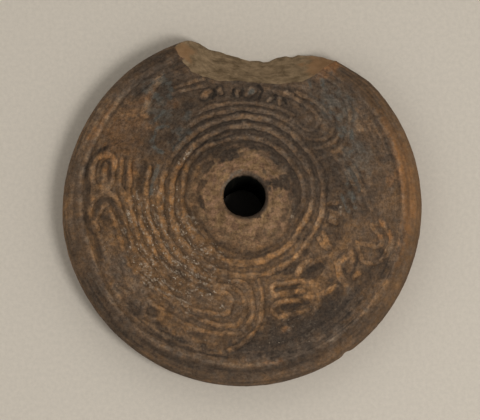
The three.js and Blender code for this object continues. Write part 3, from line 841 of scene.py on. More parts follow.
def ridges_at(points, strokes):
    """Height of the ridges at plan points, how bare they are, and the depth of hollows beside them."""
    height, full, bare, hollow = np.zeros((4, len(points)))
    wobble = EDGE_WOBBLE * layered_noise(flattened(points), EDGE_CELL, 3, SEEDS["edge"])
    points = strayed(points)
    for stroke in strokes:
        half = stroke.width / 2
        margin = half + 3 * HOLLOW_REACH
        low, high = stroke.path.min(0) - margin, stroke.path.max(0) + margin
        near = np.flatnonzero(((points > low) & (points < high)).all(axis=1))
        if not len(near):
            continue
        away = distance_to_path(points[near], stroke.path) + wobble[near]
        part = 1.0 - smoothstep(RIDGE_TOP * half, RIDGE_FOOT * half, away)
        beside = swell(np.maximum(away - half, 0.0), HOLLOW_REACH)
        height[near] = np.maximum(height[near], part * stroke.height)
        full[near] = np.maximum(full[near], part)
        bare[near] = np.maximum(bare[near], part * stroke.bare)
        hollow[near] = np.maximum(hollow[near], stroke.hollow * beside)
    return height, bare, hollow * (1.0 - full)


# Body of the whorl


def crown_height(form, radius):
    """Height of the collar's slope at a radius, in millimetres."""
    return form.height / MM - form.crown_slope * (radius - form.bore_radius / MM - BORE_EDGE)


def face_height(form, radius):
    """Height of the plain upper face, which sinks a little outside the collar."""
    start, end = (form.collar_radius / MM + step for step in COLLAR_STEP)
    return crown_height(form, radius) - form.field_sink / MM * smoothstep(start, end, radius)


def rim_height(form, radius):
    """Height between the field and the bevel."""
    start = face_height(form, np.array(RIM_FOOT))
    bevel_width = (form.outer_radius - form.foot_radius) / MM
    turn = math.acos((BEVEL_START - form.foot_radius / MM) / bevel_width)
    end = (form.belly_height + form.bevel_rise * math.sin(turn)) / MM
    return np.interp(radius, [RIM_FOOT, BEVEL_START], [start, end])


def from_rim_line(form, points):
    """How far outside the rim line each point lies."""
    return radius_of(points) - form.rim_line_radius / MM - wavered(RIM_WAVER, bearing_of(points))


def rim_grooves(away):
    """The grooves inside and outside the rim line, as a share of their depth."""
    return swell(away - OUTER_GROOVE, RIM_GROOVE_SPREAD) + swell(away - INNER_GROOVE, RIM_GROOVE_SPREAD)


def from_collar(points):
    """How far outside the collar's edge each point lies."""
    return radius_of(points) - by_bearing(COLLAR_EDGE, bearing_of(points))


def body_rows(form):
    """Radius and height of each row of the closed profile, and the part of the body it belongs to."""
    bore, top = form.bore_radius / MM, form.height / MM
    foot, belly = form.foot_radius / MM, form.belly_height / MM
    bevel_width, rise = form.outer_radius / MM - foot, form.bevel_rise / MM
    rows = []
    for z in np.linspace(BORE_EDGE, top - BORE_EDGE, ROW_COUNTS["bore"], endpoint=False):
        rows.append((bore, z, "bore"))
    for turn in np.linspace(0, math.pi / 2, ROW_COUNTS["lip"], endpoint=False):
        lip_radius = bore + BORE_EDGE * (1 - math.cos(turn))
        rows.append((lip_radius, top - BORE_EDGE * (1 - math.sin(turn)), "lip"))
    for radius in np.linspace(bore + BORE_EDGE, RIM_FOOT, ROW_COUNTS["face"], endpoint=False):
        rows.append((radius, float(face_height(form, radius)), "face"))
    for radius in np.linspace(RIM_FOOT, BEVEL_START, ROW_COUNTS["rim"], endpoint=False):
        rows.append((radius, float(rim_height(form, radius)), "rim"))
    first_turn = math.acos((BEVEL_START - foot) / bevel_width)
    for turn in np.linspace(first_turn, 0, ROW_COUNTS["bevel"], endpoint=False):
        rows.append((foot + bevel_width * math.cos(turn), belly + rise * math.sin(turn), "bevel"))
    for turn in np.linspace(0, -math.pi / 2, ROW_COUNTS["belly"], endpoint=False):
        rows.append((foot + bevel_width * math.cos(turn), belly * (1 + math.sin(turn)), "belly"))
    for radius in np.linspace(foot, bore + BORE_EDGE, ROW_COUNTS["foot"]):
        rows.append((radius, 0.0, "foot"))
    return rows


def body_points(form, strokes):
    """Points of the unbroken whorl, row by row, with relief, waves and grain, in millimetres."""
    rows = body_rows(form)
    radius = np.array([row[0] for row in rows])
    height = np.array([row[1] for row in rows])
    part = np.array([row[2] for row in rows])
    out_r = np.roll(height, -1) - np.roll(height, 1)
    out_z = np.roll(radius, 1) - np.roll(radius, -1)
    size = np.hypot(out_r, out_z)
    out_r, out_z = out_r / size, out_z / size
    bearing = np.linspace(0, 360, COLUMNS, endpoint=False)
    turn = np.radians(bearing)
    around = np.stack([np.cos(turn), np.sin(turn)], axis=1)
    shift = wavered(OUT_OF_ROUND, bearing) - NICK_DEPTH * swell(bearing - NICK_BEARING, NICK_SPREAD)
    reach = radius[:, None] + smoothstep(ROUND_WITHIN, SHIFTED_BEYOND, radius)[:, None] * shift[None, :]
    plan = reach[:, :, None] * around[None]
    flat = np.column_stack([plan.reshape(-1, 2), np.repeat(height, COLUMNS)])
    lift = surface_lift(form, flat, np.repeat(part, COLUMNS), strokes).reshape(len(rows), COLUMNS)
    moved = flat.reshape(len(rows), COLUMNS, 3).copy()
    moved[:, :, :2] += (lift * out_r[:, None])[:, :, None] * around[None]
    moved[:, :, 2] += lift * out_z[:, None]
    foot = part == "foot"
    moved[foot, :, 2] = np.abs(lift[foot])
    return moved


def surface_lift(form, points, part, strokes):
    """How far each point of the body stands out: ridges on the face, and waves and grain all over."""
    grain = form.surface_grain / MM * np.where(np.isin(part, SMOOTHED_PARTS), SMOOTHED_GRAIN, 1.0)
    lift = form.surface_wave / MM * layered_noise(points, WAVE_CELL, 2, SEEDS["wave"])
    lift += grain * layered_noise(points, GRAIN_CELL, 3, SEEDS["grain"])
    lift -= PIT_DEPTH * grain * smoothstep(*PIT_EDGE, lattice_noise(points, PIT_CELL, SEEDS["pits"]))
    lift += STREAK_DEPTH * grain * streaks(points)
    face = part == "face"
    raised, scored = (ridges_at(points[face, :2], lines)[0] for lines in (strokes, scores()))
    groove = COLLAR_GROOVE * swell(from_collar(points[face]), COLLAR_GROOVE_WIDTH)
    lift[face] += raised * preserved(points[face]) - groove - scored
    rim = part == "rim"
    away = from_rim_line(form, points[rim])
    lift[rim] += form.rim_line_rise / MM * swell(away, RIM_LINE_SPREAD)
    lift[rim] -= RIM_GROOVE_DEPTH * rim_grooves(away)
    return lift


def preserved(points):
    """How much of the relief has lasted at each point."""
    kept = KEPT_MEAN
    for (cell, amount), seed in zip(KEPT_NOISE, SEEDS["kept"]):
        kept = kept + amount * layered_noise(points, cell, 2, seed)
    return np.maximum(np.clip(kept, *KEPT_RANGE), patches_at(SPARED_PATCHES, points, SEEDS["spared"]))


def grid_faces(rows, columns):
    """Quads of a grid that closes on itself both ways."""
    index = np.arange(rows * columns).reshape(rows, columns)
    right, below = np.roll(index, -1, axis=1), np.roll(index, -1, axis=0)
    corner = np.roll(right, -1, axis=0)
    return np.stack([index, right, corner, below], axis=2).reshape(-1, 4)


def new_mesh_object(name, points, faces):
    """An object whose mesh is given in millimetres."""
    mesh = bpy.data.meshes.new(name)
    mesh.from_pydata((points * MM).tolist(), [], [list(face) for face in faces])
    mesh.update()
    piece = bpy.data.objects.new(name, mesh)
    bpy.context.scene.collection.objects.link(piece)
    return piece


# Broken rim


def rounded(bearings, values):
    """Station values at bearings, with the corners between stations rounded off."""
    stations = [station[0] for station in BREAK_STATIONS]
    total, whole = 0.0, 0.0
    for step in np.linspace(-ROUNDING_REACH, ROUNDING_REACH, ROUNDING_SAMPLES):
        weight = swell(step, 1.0)
        total = total + weight * np.interp(bearings + BREAK_ROUNDING * step, stations, values)
        whole += weight
    return total / whole


def placed(radius, turn, height):
    """Points in space from a radius, an angle and a height."""
    plan = (radius * np.cos(turn), radius * np.sin(turn))
    return np.stack(np.broadcast_arrays(*plan, height), axis=-1)


def lost_piece(form):
    """Points and faces of what broke away, bounded by the fracture."""
    bearings = np.linspace(BREAK_STATIONS[0][0], BREAK_STATIONS[-1][0], BREAK_COLUMNS)
    upper = rounded(bearings, [station[1] for station in BREAK_STATIONS])
    lower = rounded(bearings, [station[2] for station in BREAK_STATIONS])
    edge_height = crown_height(form, np.minimum(upper, RIM_FOOT)) - form.field_sink / MM
    shares = np.linspace(*BREAK_SHARES, BREAK_ROWS)
    radius = mixed(lower[:, None], upper[:, None], shares[None, :])
    height = edge_height[:, None] * shares[None, :]
    turn = np.radians(bearings)[:, None]
    plain = placed(radius, turn, height).reshape(-1, 3)
    rough = np.zeros(radius.size)
    for step, (cell, depth) in enumerate(BREAK_ROUGHNESS):
        rough += depth * lattice_noise(plain, cell, SEEDS["break"] + step)
    smoothed = 1.0 - BREAK_SMOOTHED * np.clip(shares, 0, 1)
    face = placed(radius + rough.reshape(radius.shape) * smoothed[None, :], turn, height)
    outside = placed(BREAK_OUTSIDE, turn, height[:, [-1, 0]])
    points = np.concatenate([face, outside], axis=1)
    count = points.shape[1]
    faces = []
    for column in range(BREAK_COLUMNS - 1):
        for i in range(count):
            a, b = column * count + i, column * count + (i + 1) % count
            faces.append((a, b, b + count, a + count))
    last = (BREAK_COLUMNS - 1) * count
    faces.append(tuple(range(count))[::-1])
    faces.append(tuple(range(last, last + count)))
    return points.reshape(-1, 3), faces


def break_away(piece, lost):
    """Cuts the lost piece out of the whorl. The faces of the break keep the lost piece's material."""
    cut = piece.modifiers.new("break", "BOOLEAN")
    cut.operation = "DIFFERENCE"
    cut.solver = "EXACT"
    cut.material_mode = "TRANSFER"
    cut.object = lost
    graph = bpy.context.evaluated_depsgraph_get()
    broken = bpy.data.meshes.new_from_object(piece.evaluated_get(graph), depsgraph=graph)
    piece.modifiers.remove(cut)
    old = piece.data
    piece.data = broken
    bpy.data.meshes.remove(old)
    bpy.data.objects.remove(lost)
    broken.name = piece.name
    take_out_folds(broken)


def take_out_folds(mesh):
    """Cuts the mesh into triangles, and takes out those that lie folded back to back along the break."""
    work = bmesh.new()
    work.from_mesh(mesh)
    bmesh.ops.triangulate(work, faces=work.faces)
    same = {}
    for face in work.faces:
        same.setdefault(frozenset(corner.index for corner in face.verts), []).append(face)
    folds = [face for faces in same.values() if len(faces) > 1 for face in faces]
    bmesh.ops.delete(work, geom=folds, context="FACES")
    loose = [face for face in work.faces if any(edge.is_boundary for edge in face.edges)]
    bmesh.ops.delete(work, geom=loose, context="FACES")
    if not all(edge.is_manifold for edge in work.edges):
        raise RuntimeError("the broken whorl isn't closed")
    work.to_mesh(mesh)
    work.free()


# Finish as masks on the mesh


def patches_at(patches, points, seed):
    """Soft patches with ragged outlines, as a mask."""
    bearing, radius = bearing_of(points), radius_of(points)
    ragged = sum(
        amount * layered_noise(points, cell, 2, seed + step) for cell, amount, step in PATCH_RAGGED
    )
    aside, outwards = (
        PATCH_STRAY * layered_noise(points, PATCH_STRAY_CELL, 3, seed + step) for step in PATCH_STRAY_SEEDS
    )
    total = np.zeros(len(points))
    for middle, reach, along, across, amount in patches:
        turn = (bearing - middle + 180) % 360 - 180
        away = np.hypot((np.radians(turn) * reach + aside) / along, (radius - reach + outwards) / across)
        total = np.maximum(total, amount * smoothstep(*PATCH_EDGE, away + ragged))
    return total


def dashes(points):
    """Short marks that lie round the bore, as a mask."""
    radius = radius_of(points)
    along = np.radians(bearing_of(points)) * radius
    plan = np.column_stack([radius, along]) / DASH_SIZE
    return smoothstep(*DASH_EDGE, layered_noise(flattened(plan), 1.0, 2, SEEDS["dashes"]))


def field_tone(bearing, radius):
    """Tone of the field away from ridges and patches: the wear is most uneven near the collar."""
    evened = EVEN_SHARE * np.clip((radius - EVEN_FROM) / (EVEN_TO - EVEN_FROM), 0, 1)
    return mixed(by_bearing(FIELD_TONE, bearing), EVEN_TONE, evened)


class Surface:
    """The points of the whorl's mesh, where each one lies, and the slow noise that the masks share."""

    def __init__(self, form, mesh):
        flat = np.empty(len(mesh.vertices) * 3)
        mesh.vertices.foreach_get("co", flat)
        self.points = flat.reshape(-1, 3) / MM
        self.radius = radius_of(self.points)
        self.bearing = bearing_of(self.points)
        self.slow = layered_noise(self.points, SLOW_CELL, 3, SEEDS["slow"])
        self.bore = form.bore_radius / MM
        height = self.points[:, 2]
        self.on_top = height > form.belly_height / MM
        self.inside = (self.radius < self.bore + BORE_WALL) & (height < form.height / MM - BORE_LIP)
        self.under = (height < FOOT_EDGE) & ~self.inside
        past_line = from_rim_line(form, self.points)
        self.rim = smoothstep(INNER_GROOVE, OUTER_GROOVE, past_line)
        self.rim_line = swell(past_line, RIM_LINE_PAINT) * self.on_top
        self.rim_grooves = np.clip(rim_grooves(past_line), 0, 1) * self.on_top

    def around(self, values):
        """A value for each point, from one for each 45 degrees."""
        return by_bearing(values, self.bearing)

    def patches(self, patches, name):
        """A mask of soft patches, with the seed of that name."""
        return patches_at(patches, self.points, SEEDS[name])

    def drawn(self, strokes):
        """How bare strokes are on the upper side, and how deep the hollows beside them."""
        bare, hollow = np.zeros((2, len(self.points)))
        _, bare[self.on_top], hollow[self.on_top] = ridges_at(self.points[self.on_top, :2], strokes)
        return bare, hollow


def painted_tone(surface, strokes, slip, bared):
    """Tone of the clay at each point: 0 is whole dark slip, 1 is bare pale clay. It also holds painted shade
    in the bore and the hollows, and a painted highlight on the lip.
    """
    slow, bore = surface.slow, surface.bore
    ridge, hollow = surface.drawn(strokes)
    ridge *= preserved(surface.points)
    scored, _ = surface.drawn(scores())
    hollow = np.clip(np.maximum(hollow * (HOLLOW_MEAN + HOLLOW_DRIFT * slow), scored), 0, 1)

    tone = mixed(field_tone(surface.bearing, surface.radius), surface.around(RIM_TONE), surface.rim)
    tone = mixed(tone + TONE_DRIFT * slow, SLIP_TONE, slip) + BARED_GAIN * bared
    # The hollows beside strokes and the scored lines are darkened: slip kept in the hollows, and painted
    # shade
    tone *= 1.0 - surface.around(GROOVE_SHADE) * hollow
    tone += surface.around(RIDGE_GAIN) * smoothstep(*RIDGE_BARE, ridge)
    tone += STREAK_TONE * streaks(surface.points) * smoothstep(*STREAKED_BETWEEN, surface.radius)
    tone += surface.around(RIM_LINE_GAIN) * surface.rim_line * (RIM_LINE_MEAN + slow)
    rim_dark = surface.rim_grooves * (RIM_GROOVE_MEAN + RIM_GROOVE_DRIFT * slow)
    tone *= 1.0 - surface.around(RIM_GROOVE_SHADE) * rim_dark

    ring_dark = swell(from_collar(surface.points), COLLAR_GROOVE_WIDTH) * surface.on_top
    tone = mixed(tone, COLLAR_RING_TONE, np.clip(COLLAR_RING_SHADE * ring_dark * (1.0 + slow), 0, 1))
    # Painted highlight: the lip is lighter to the north and north-west
    lip_start, lip_end = (bore + step for step in LIP_SHADE)
    lip = (1.0 - smoothstep(lip_start, lip_end, surface.radius)) * surface.on_top
    tone = mixed(tone, surface.around(LIP_HIGHLIGHT_TONE), lip)
    # Painted shade: the bore's wall gets a near-black tone
    tone[surface.inside] = BORE_SHADE_TONE
    tone[surface.under] = FOOT_TONE + FOOT_DRIFT * slow[surface.under]
    return tone


def painted_warmth(surface, ochre):
    """Hue of the clay at each point: 0 is grey, 1 is orange."""
    warmth = mixed(surface.around(WARMTH), surface.around(RIM_WARMTH), surface.rim)
    warmth += WARMTH_DRIFT * surface.slow + OCHRE_WARMTH * ochre
    return warmth - ASH_COOLING * surface.patches(ASH_PATCHES, "ash") - RIM_LINE_COOLING * surface.rim_line


def painted_collar(surface, slip):
    """Mask of the bare clay between the bore's lip and the groove round the collar."""
    start, end = (surface.around(COLLAR_EDGE) + step for step in COLLAR_FADE)
    lip = surface.bore + surface.around(LIP_WIDTH)
    collar = 1.0 - smoothstep(start, end, surface.radius + COLLAR_DRIFT * surface.slow)
    collar *= smoothstep(lip - LIP_FADE, lip + LIP_FADE, surface.radius + LIP_DRIFT * surface.slow)
    return collar * (1.0 - slip) * (surface.on_top & ~surface.inside)


def paint_masks(form, mesh, strokes):
    """Writes the masks that the materials read, from 0 to 1 at every point of the mesh.

    Tone and warmth choose the clay's colour, ochre reddens it and calm evens it out; tone also holds painted
    shade in the bore and a painted highlight on the lip.
    The collar masks are the bare clay round the bore and its gain, which is lighter to the north-west as
    painted fill light.
    Bloom, fleck and lime are what has settled. The last mask is painted shade on the bore's wall.
    """
    surface = Surface(form, mesh)
    on_top = surface.on_top
    slip = surface.patches(SLIP_PATCHES, "slip")
    ochre = surface.patches(OCHRE_PATCHES, "ochre")
    worn = surface.patches(WORN_PATCHES, "worn")
    bloom_lines, _ = surface.drawn([Stroke(line, BLOOM_WIDTH, 1.0) for line in BLOOM_LINES])
    bloom = np.maximum(surface.patches(BLOOM_PATCHES, "bloom"), BLOOM_LINE_SHARE * bloom_lines)
    flecked = np.maximum(FLECK_BASE, surface.patches(FLECK_PATCHES, "fleck"))
    specked = np.maximum(flecked, surface.patches(SPECK_PATCHES, "speck"))
    # Masks end at 1, so the gain of the collar, with its painted fill light, is kept at half
    masks = {
        "tone": painted_tone(surface, strokes, slip, ochre + worn),
        "warmth": painted_warmth(surface, ochre),
        "collar": painted_collar(surface, slip),
        "ochre": ochre,
        "bloom": bloom * on_top,
        "fleck": flecked * on_top * dashes(surface.points),
        "lime": specked * on_top,
        "calm": surface.rim * surface.around(RIM_CALM),
        # Painted fill light: the collar is lighter to the north-west
        "collar_painted_fill": HALF_GAIN * surface.around(COLLAR_PAINTED_FILL),
        # Painted shade on the bore's wall
        "bore_shade": surface.inside,
    }
    for name, values in masks.items():
        layer = mesh.attributes.new(name, "FLOAT", "POINT")
        layer.data.foreach_set("value", np.clip(values, 0, 1).astype(np.float32))


# Materials


class NodeSheet:
    """Short ways to add and join the nodes of one tree."""

    def __init__(self, tree):
        self.tree = tree

    def add(self, kind, inputs=None, **settings):
        """A node with the given settings and inputs."""
        node = self.tree.nodes.new(kind)
        for name, value in settings.items():
            setattr(node, name, value)
        self.feed(node, inputs or {})
        return node

    def feed(self, node, inputs):
        """Fills inputs of a node. A socket is joined to the input, and a value is set on it."""
        for key, value in inputs.items():
            if isinstance(value, bpy.types.NodeSocket):
                self.tree.links.new(value, node.inputs[key])
            else:
                node.inputs[key].default_value = value

    def math(self, operation, first, second, clamp=False):
        """One sum of two values."""
        node = self.add("ShaderNodeMath", {0: first, 1: second}, operation=operation, use_clamp=clamp)
        return node.outputs[0]

    def swing(self, noise, gain):
        """A noise from 0 to 1, turned into a swing either side of 0."""
        return self.math("MULTIPLY", self.math("SUBTRACT", noise, 0.5), gain)

    def blend(self, part, first, second, mode="MIX"):
        """Two colours blended by a mask."""
        node = self.add("ShaderNodeMix", data_type="RGBA", blend_type=mode)
        place = {socket.identifier: i for i, socket in enumerate(node.inputs)}
        self.feed(node, {place["Factor_Float"]: part, place["A_Color"]: first, place["B_Color"]: second})
        return next(socket for socket in node.outputs if socket.identifier == "Result_Color")

    def mask(self, name):
        """A mask painted on the mesh."""
        return self.add("ShaderNodeAttribute", attribute_name=name).outputs["Fac"]

    def spread(self, value, low, high, to_low=0.0, to_high=1.0):
        """A value moved from one range to another, and kept inside it."""
        inputs = {"Value": value, "From Min": low, "From Max": high, "To Min": to_low, "To Max": to_high}
        return self.add("ShaderNodeMapRange", inputs, interpolation_type="SMOOTHSTEP").outputs["Result"]

    def ramp(self, value, stops):
        """A colour ramp with the given stops."""
        node = self.add("ShaderNodeValToRGB", {"Fac": value})
        band = node.color_ramp
        while len(band.elements) < len(stops):
            band.elements.new(1.0)
        for element, (place, tint) in zip(band.elements, stops):
            element.position = place
            element.color = opaque(tint)
        return node.outputs["Color"]

    def place(self, kind="Object"):
        """Coordinates, on the object in metres unless another kind is named."""
        return self.add("ShaderNodeTexCoord").outputs[kind]

    def vector(self, operation, inputs):
        """One sum of vectors."""
        return self.add("ShaderNodeVectorMath", inputs, operation=operation).outputs[0]

    def noise(self, place, settings):
        """A noise from 0 to 1."""
        return self.add("ShaderNodeTexNoise", {"Vector": place, **settings}).outputs["Fac"]


def opaque(tint):
    """A colour with full alpha."""
    return (*tint, 1.0)


def group_sheet(name, inputs, outputs):
    """A new shader group with float sockets, its sheet and its two end nodes."""
    tree = bpy.data.node_groups.new(name, "ShaderNodeTree")
    for label, default in inputs:
        socket = tree.interface.new_socket(label, in_out="INPUT", socket_type="NodeSocketFloat")
        socket.default_value = default
    for label in outputs:
        tree.interface.new_socket(label, in_out="OUTPUT", socket_type="NodeSocketFloat")
    sheet = NodeSheet(tree)
    return tree, sheet, sheet.add("NodeGroupInput"), sheet.add("NodeGroupOutput")


def clay_grain_group():
    """Mottling, grain, pits and change of hue of fired clay, on a scale in millimetres."""
    labels = ["Mottle", "Grain", "Pits", "Hue"]
    tree, sheet, given, result = group_sheet("Clay grain", [("Coarseness", 1.0)], labels)
    fineness = sheet.math("DIVIDE", 1.0 / MM, given.outputs["Coarseness"])
    scaled = sheet.vector("SCALE", {0: sheet.place(), "Scale": fineness})
    aside = sheet.vector("ADD", {0: scaled, 1: HUE_OFFSET})
    cells = sheet.add("ShaderNodeTexVoronoi", {"Vector": scaled, "Scale": PIT_SCALE})
    values = [
        sheet.noise(scaled, MOTTLE_NOISE),
        sheet.noise(scaled, GRAIN_NOISE),
        sheet.spread(cells.outputs["Distance"], *PIT_SPREAD),
        sheet.noise(aside, HUE_NOISE),
    ]
    sheet.feed(result, dict(zip(labels, values)))
    return tree


def lime_fleck_group():
    """Small white flecks: dashes from one mask, and specks that are thick where the other is strong."""
    tree, sheet, given, result = group_sheet("Lime flecks", [("Dashes", 0.0), ("Amount", 0.0)], ["Mask"])
    noise = sheet.noise(sheet.vector("SCALE", {0: sheet.place(), "Scale": 1.0 / MM}), FLECK_NOISE)
    broken = sheet.math("MULTIPLY", given.outputs["Dashes"], sheet.spread(noise, *FLECK_BREAKS))
    raised = sheet.math("ADD", noise, sheet.math("MULTIPLY", given.outputs["Amount"], SPECK_RISE))
    sheet.feed(result, {"Mask": sheet.math("MAXIMUM", broken, sheet.spread(raised, *SPECK_EDGE))})
    return tree


def new_material(name):
    """An empty node material, its sheet and its shader."""
    material = bpy.data.materials.new(name)
    material.use_nodes = True
    material.node_tree.nodes.clear()
    sheet = NodeSheet(material.node_tree)
    shader = sheet.add("ShaderNodeBsdfPrincipled")
    sheet.add("ShaderNodeOutputMaterial", {"Surface": shader.outputs["BSDF"]})
    return material, sheet, shader


def grained(sheet, grain_group, coarseness):
    """The outputs of the grain group, placed in a material with its own coarseness."""
    return sheet.add("ShaderNodeGroup", {"Coarseness": coarseness}, node_tree=grain_group).outputs


def grain_bump(sheet, grain, strength):
    """A normal from the grain, the mottling and the pits."""
    raised = sheet.math("ADD", grain["Grain"], sheet.math("MULTIPLY", grain["Mottle"], MOTTLE_RELIEF))
    height = sheet.math("SUBTRACT", raised, sheet.math("MULTIPLY", grain["Pits"], PIT_RELIEF))
    inputs = {"Height": height, "Strength": strength, "Distance": BUMP_DEPTH * MM}
    return sheet.add("ShaderNodeBump", inputs).outputs["Normal"]


def worn_slip(sheet, finish, grain, tone):
    """Colour of the clay from its tone, grey or orange by its warmth, and redder by the ochre mask."""
    cool, warm = (
        sheet.ramp(tone, [(place, getattr(finish, name)) for place, name in stops])
        for stops in (COOL_STOPS, WARM_STOPS)
    )
    hue = sheet.math("ADD", sheet.mask("warmth"), sheet.swing(grain["Hue"], HUE_GAIN), clamp=True)
    surface = sheet.blend(hue, cool, warm)
    redder = sheet.blend(1.0, surface, opaque(finish.blush), "MULTIPLY")
    return sheet.blend(sheet.mask("ochre"), surface, redder)


def bare_collar(sheet, finish, grain, mottle):
    """Colour of the bare clay round the bore, yellower and redder by turns, and lighter to the north-west by
    painted fill light.
    """
    hue = sheet.spread(grain["Hue"], *COLLAR_HUE)
    tint = sheet.blend(hue, opaque(finish.collar), opaque(finish.collar_pink))
    shade = sheet.math("MULTIPLY", sheet.spread(mottle, *COLLAR_MOTTLE), sheet.mask("collar_painted_fill"))
    return sheet.blend(1.0, tint, shade, "MULTIPLY")


def slipped_clay(finish, grain_group, fleck_group):
    """Clay under a dark slip that is worn through on the ridges."""
    material, sheet, shader = new_material("slipped_clay")
    grain = grained(sheet, grain_group, SLIP_COARSENESS)
    calm = sheet.math("SUBTRACT", 1.0, sheet.math("MULTIPLY", sheet.mask("calm"), CALM_SHARE))
    mottle = sheet.math("MULTIPLY", sheet.swing(grain["Mottle"], MOTTLE_GAIN), calm)
    pitted = sheet.math("SUBTRACT", TONE_LEVEL, sheet.math("MULTIPLY", grain["Pits"], PIT_SHADE))
    factor = sheet.math("MAXIMUM", sheet.math("ADD", mottle, pitted), LEAST_TONE)
    tone = sheet.math("MULTIPLY", sheet.mask("tone"), factor, clamp=True)
    surface = worn_slip(sheet, finish, grain, tone)
    surface = sheet.blend(sheet.mask("collar"), surface, bare_collar(sheet, finish, grain, mottle))
    bloom = sheet.math("MULTIPLY", sheet.mask("bloom"), sheet.spread(grain["Mottle"], *BLOOM_SPREAD))
    surface = sheet.blend(sheet.math("MULTIPLY", bloom, BLOOM_SHARE), surface, opaque(finish.bloom))
    uneven = sheet.math("MULTIPLY", sheet.swing(grain["Grain"], SPECKLE_GAIN), calm)
    surface = sheet.blend(1.0, surface, sheet.math("ADD", 1.0, uneven), "MULTIPLY")
    # Painted shade: the bore's wall is blended to near black
    surface = sheet.blend(sheet.mask("bore_shade"), surface, opaque(finish.bore_shade))
    settled = {"Dashes": sheet.mask("fleck"), "Amount": sheet.mask("lime")}
    flecks = sheet.add("ShaderNodeGroup", settled, node_tree=fleck_group)
    inputs = {
        "Base Color": sheet.blend(flecks.outputs["Mask"], surface, opaque(finish.fleck)),
        "Roughness": sheet.spread(tone, *SLIP_ROUGHNESS),
        "Normal": grain_bump(sheet, grain, SLIP_BUMP),
        "Specular IOR Level": SLIP_SHINE,
    }
    sheet.feed(shader, inputs)
    return material


def broken_clay(finish, grain_group):
    """Bare clay inside the break, in layers, with orange ends."""
    material, sheet, shader = new_material("broken_clay")
    grain = grained(sheet, grain_group, BREAK_COARSENESS)
    layers = sheet.noise(sheet.vector("MULTIPLY", {0: sheet.place(), 1: BREAK_LAYERS}), LAYER_NOISE)
    varied = sheet.math("ADD", grain["Mottle"], sheet.math("MULTIPLY", grain["Grain"], BREAK_GRAIN))
    varied = sheet.math("ADD", varied, sheet.swing(layers, LAYER_GAIN))
    surface = sheet.blend(sheet.spread(varied, *CORE_SPREAD), opaque(finish.core_dark), opaque(finish.core))
    orange = sheet.math("MULTIPLY", sheet.mask("ochre"), EMBER_SHARE)
    inputs = {
        "Base Color": sheet.blend(orange, surface, opaque(finish.ember)),
        "Roughness": sheet.spread(grain["Grain"], *CORE_ROUGHNESS),
        "Normal": grain_bump(sheet, grain, CORE_BUMP),
        "Specular IOR Level": CORE_SHINE,
    }
    sheet.feed(shader, inputs)
    return material


def floor_paper(stage):
    """Pale matt paper under the whorl."""
    material, sheet, shader = new_material("floor_paper")
    shade = sheet.spread(sheet.noise(sheet.place(), PAPER_NOISE), *PAPER_SHADE)
    inputs = {
        "Base Color": sheet.blend(1.0, opaque(stage.floor), shade, "MULTIPLY"),
        "Roughness": PAPER_ROUGHNESS,
        "Specular IOR Level": PAPER_SHINE,
    }
    sheet.feed(shader, inputs)
    return material


# Operators


class WHORL_OT_make_whorl(bpy.types.Operator):
    """Make the clay whorl, break its rim and give it its worn finish"""

    bl_idname = "whorl.make_whorl"
    bl_label = "Make whorl"

    def execute(self, context):
        form, finish = context.scene.whorl_form, context.scene.whorl_finish
        strokes = ornament(form)
        points = body_points(form, strokes)
        piece = new_mesh_object("clay_whorl", points.reshape(-1, 3), grid_faces(*points.shape[:2]))
        grain_group = clay_grain_group()
        piece.data.materials.append(slipped_clay(finish, grain_group, lime_fleck_group()))
        lost = new_mesh_object("lost_piece", *lost_piece(form))
        lost.data.materials.append(broken_clay(finish, grain_group))
        break_away(piece, lost)
        if len(piece.data.materials) != 2:
            raise RuntimeError("the break left the whorl without its two materials")
        paint_masks(form, piece.data, strokes)
        piece.data.shade_smooth()
        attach(piece, "root")
        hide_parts(CLAY_NODE)
        return {"FINISHED"}


class WHORL_OT_set_stage(bpy.types.Operator):
    """Set the floor, the light and the camera"""

    bl_idname = "whorl.set_stage"
    bl_label = "Set stage"

    def execute(self, context):
        stage, form = context.scene.whorl_stage, context.scene.whorl_form
        set_floor(stage)
        set_sky(context.scene, stage)
        set_key(stage, form)
        set_camera(context.scene, stage, form)
        context.scene.view_settings.view_transform = "Standard"
        return {"FINISHED"}


def set_floor(stage):
    """A wide plain floor that the whorl lies on."""
    corners = np.array([(-1, -1, 0), (1, -1, 0), (1, 1, 0), (-1, 1, 0)]) * FLOOR_HALF / MM
    floor = new_mesh_object("floor", corners, [(0, 1, 2, 3)])
    floor.data.materials.append(floor_paper(stage))


def set_sky(scene, stage):
    """Soft light all round, weaker overhead."""
    world = bpy.data.worlds.new("studio")
    world.use_nodes = True
    world.node_tree.nodes.clear()
    sheet = NodeSheet(world.node_tree)
    up = sheet.add("ShaderNodeSeparateXYZ", {0: sheet.place("Generated")}).outputs["Z"]
    dim = tuple(SKY_OVERHEAD * part for part in stage.sky)
    light = sheet.ramp(up, [(0.0, stage.sky), (SKY_FULL_TO, stage.sky), (SKY_DIM_FROM, dim)])
    shader = sheet.add("ShaderNodeBackground", {"Color": light, "Strength": stage.sky_strength})
    sheet.add("ShaderNodeOutputWorld", {"Surface": shader.outputs[0]})
    scene.world = world


def direction(bearing, height):
    """Unit vector towards a bearing and a height above the floor."""
    flat = math.cos(height)
    return Vector((flat * math.cos(bearing), flat * math.sin(bearing), math.sin(height)))


def set_key(stage, form):
    """A broad soft key light."""
    light = bpy.data.lights.new("key", "AREA")
    light.energy = stage.key_power
    light.shape = "DISK"
    light.size = stage.key_size
    key = bpy.data.objects.new("key", light)
    away = direction(stage.key_bearing, stage.key_height)
    key.location = away * stage.key_distance + Vector((0, 0, form.belly_height))
    key.rotation_euler = away.to_track_quat("Z", "Y").to_euler()
    bpy.context.scene.collection.objects.link(key)


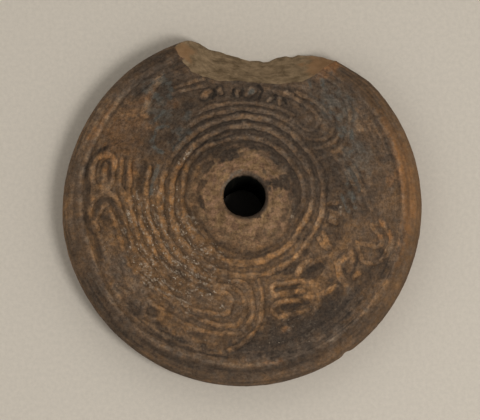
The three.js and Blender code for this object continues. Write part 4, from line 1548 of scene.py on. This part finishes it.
def set_camera(scene, stage, form):
    """A long lens that looks almost straight down, with +Y up in the picture."""
    data = bpy.data.cameras.new("camera")
    data.lens = stage.lens
    data.clip_start = CLIP_START
    data.clip_end = CLIP_END
    back = direction(stage.view_bearing, math.pi / 2 - stage.off_plumb)
    right = Vector((0, 1, 0)).cross(back).normalized()
    up = back.cross(right)
    pixel = stage.view_width / PHOTO_SIZE[0]
    off_right = (OUTLINE_CENTRE[0] - PHOTO_SIZE[0] / 2) * pixel
    off_up = (PHOTO_SIZE[1] / 2 - OUTLINE_CENTRE[1]) * pixel
    aim = Vector((0, 0, form.belly_height)) - right * off_right - up * off_up
    place = aim + back * (stage.view_width * stage.lens / data.sensor_width)
    camera = bpy.data.objects.new("camera", data)
    camera.matrix_world = Matrix.Translation(place) @ Matrix((right, up, back)).transposed().to_4x4()
    scene.collection.objects.link(camera)
    scene.camera = camera


class WHORL_PT_panel(bpy.types.Panel):
    """Sizes, colours and steps of the whorl"""

    bl_idname = "WHORL_PT_panel"
    bl_label = "Whorl"
    bl_space_type = "VIEW_3D"
    bl_region_type = "UI"
    bl_category = "Whorl"

    def draw(self, context):
        for title, group, operator in (
            ("Form", context.scene.whorl_form, None),
            ("Finish", context.scene.whorl_finish, WHORL_OT_make_whorl),
            ("Stage", context.scene.whorl_stage, WHORL_OT_set_stage),
        ):
            box = self.layout.box()
            box.label(text=title)
            for name in group.__annotations__:
                box.prop(group, name)
            if operator:
                box.operator(operator.bl_idname)


CLASSES = (WhorlForm, WhorlFinish, WhorlStage, WHORL_OT_make_whorl, WHORL_OT_set_stage, WHORL_PT_panel)


def register():
    for item in CLASSES:
        bpy.utils.register_class(item)
    bpy.types.Scene.whorl_form = PointerProperty(type=WhorlForm)
    bpy.types.Scene.whorl_finish = PointerProperty(type=WhorlFinish)
    bpy.types.Scene.whorl_stage = PointerProperty(type=WhorlStage)


def unregister():
    del bpy.types.Scene.whorl_stage
    del bpy.types.Scene.whorl_finish
    del bpy.types.Scene.whorl_form
    for item in reversed(CLASSES):
        bpy.utils.unregister_class(item)


def main():
    register()
    bpy.ops.whorl.set_stage()
    bpy.ops.whorl.make_whorl()


if __name__ == "__main__":
    main()
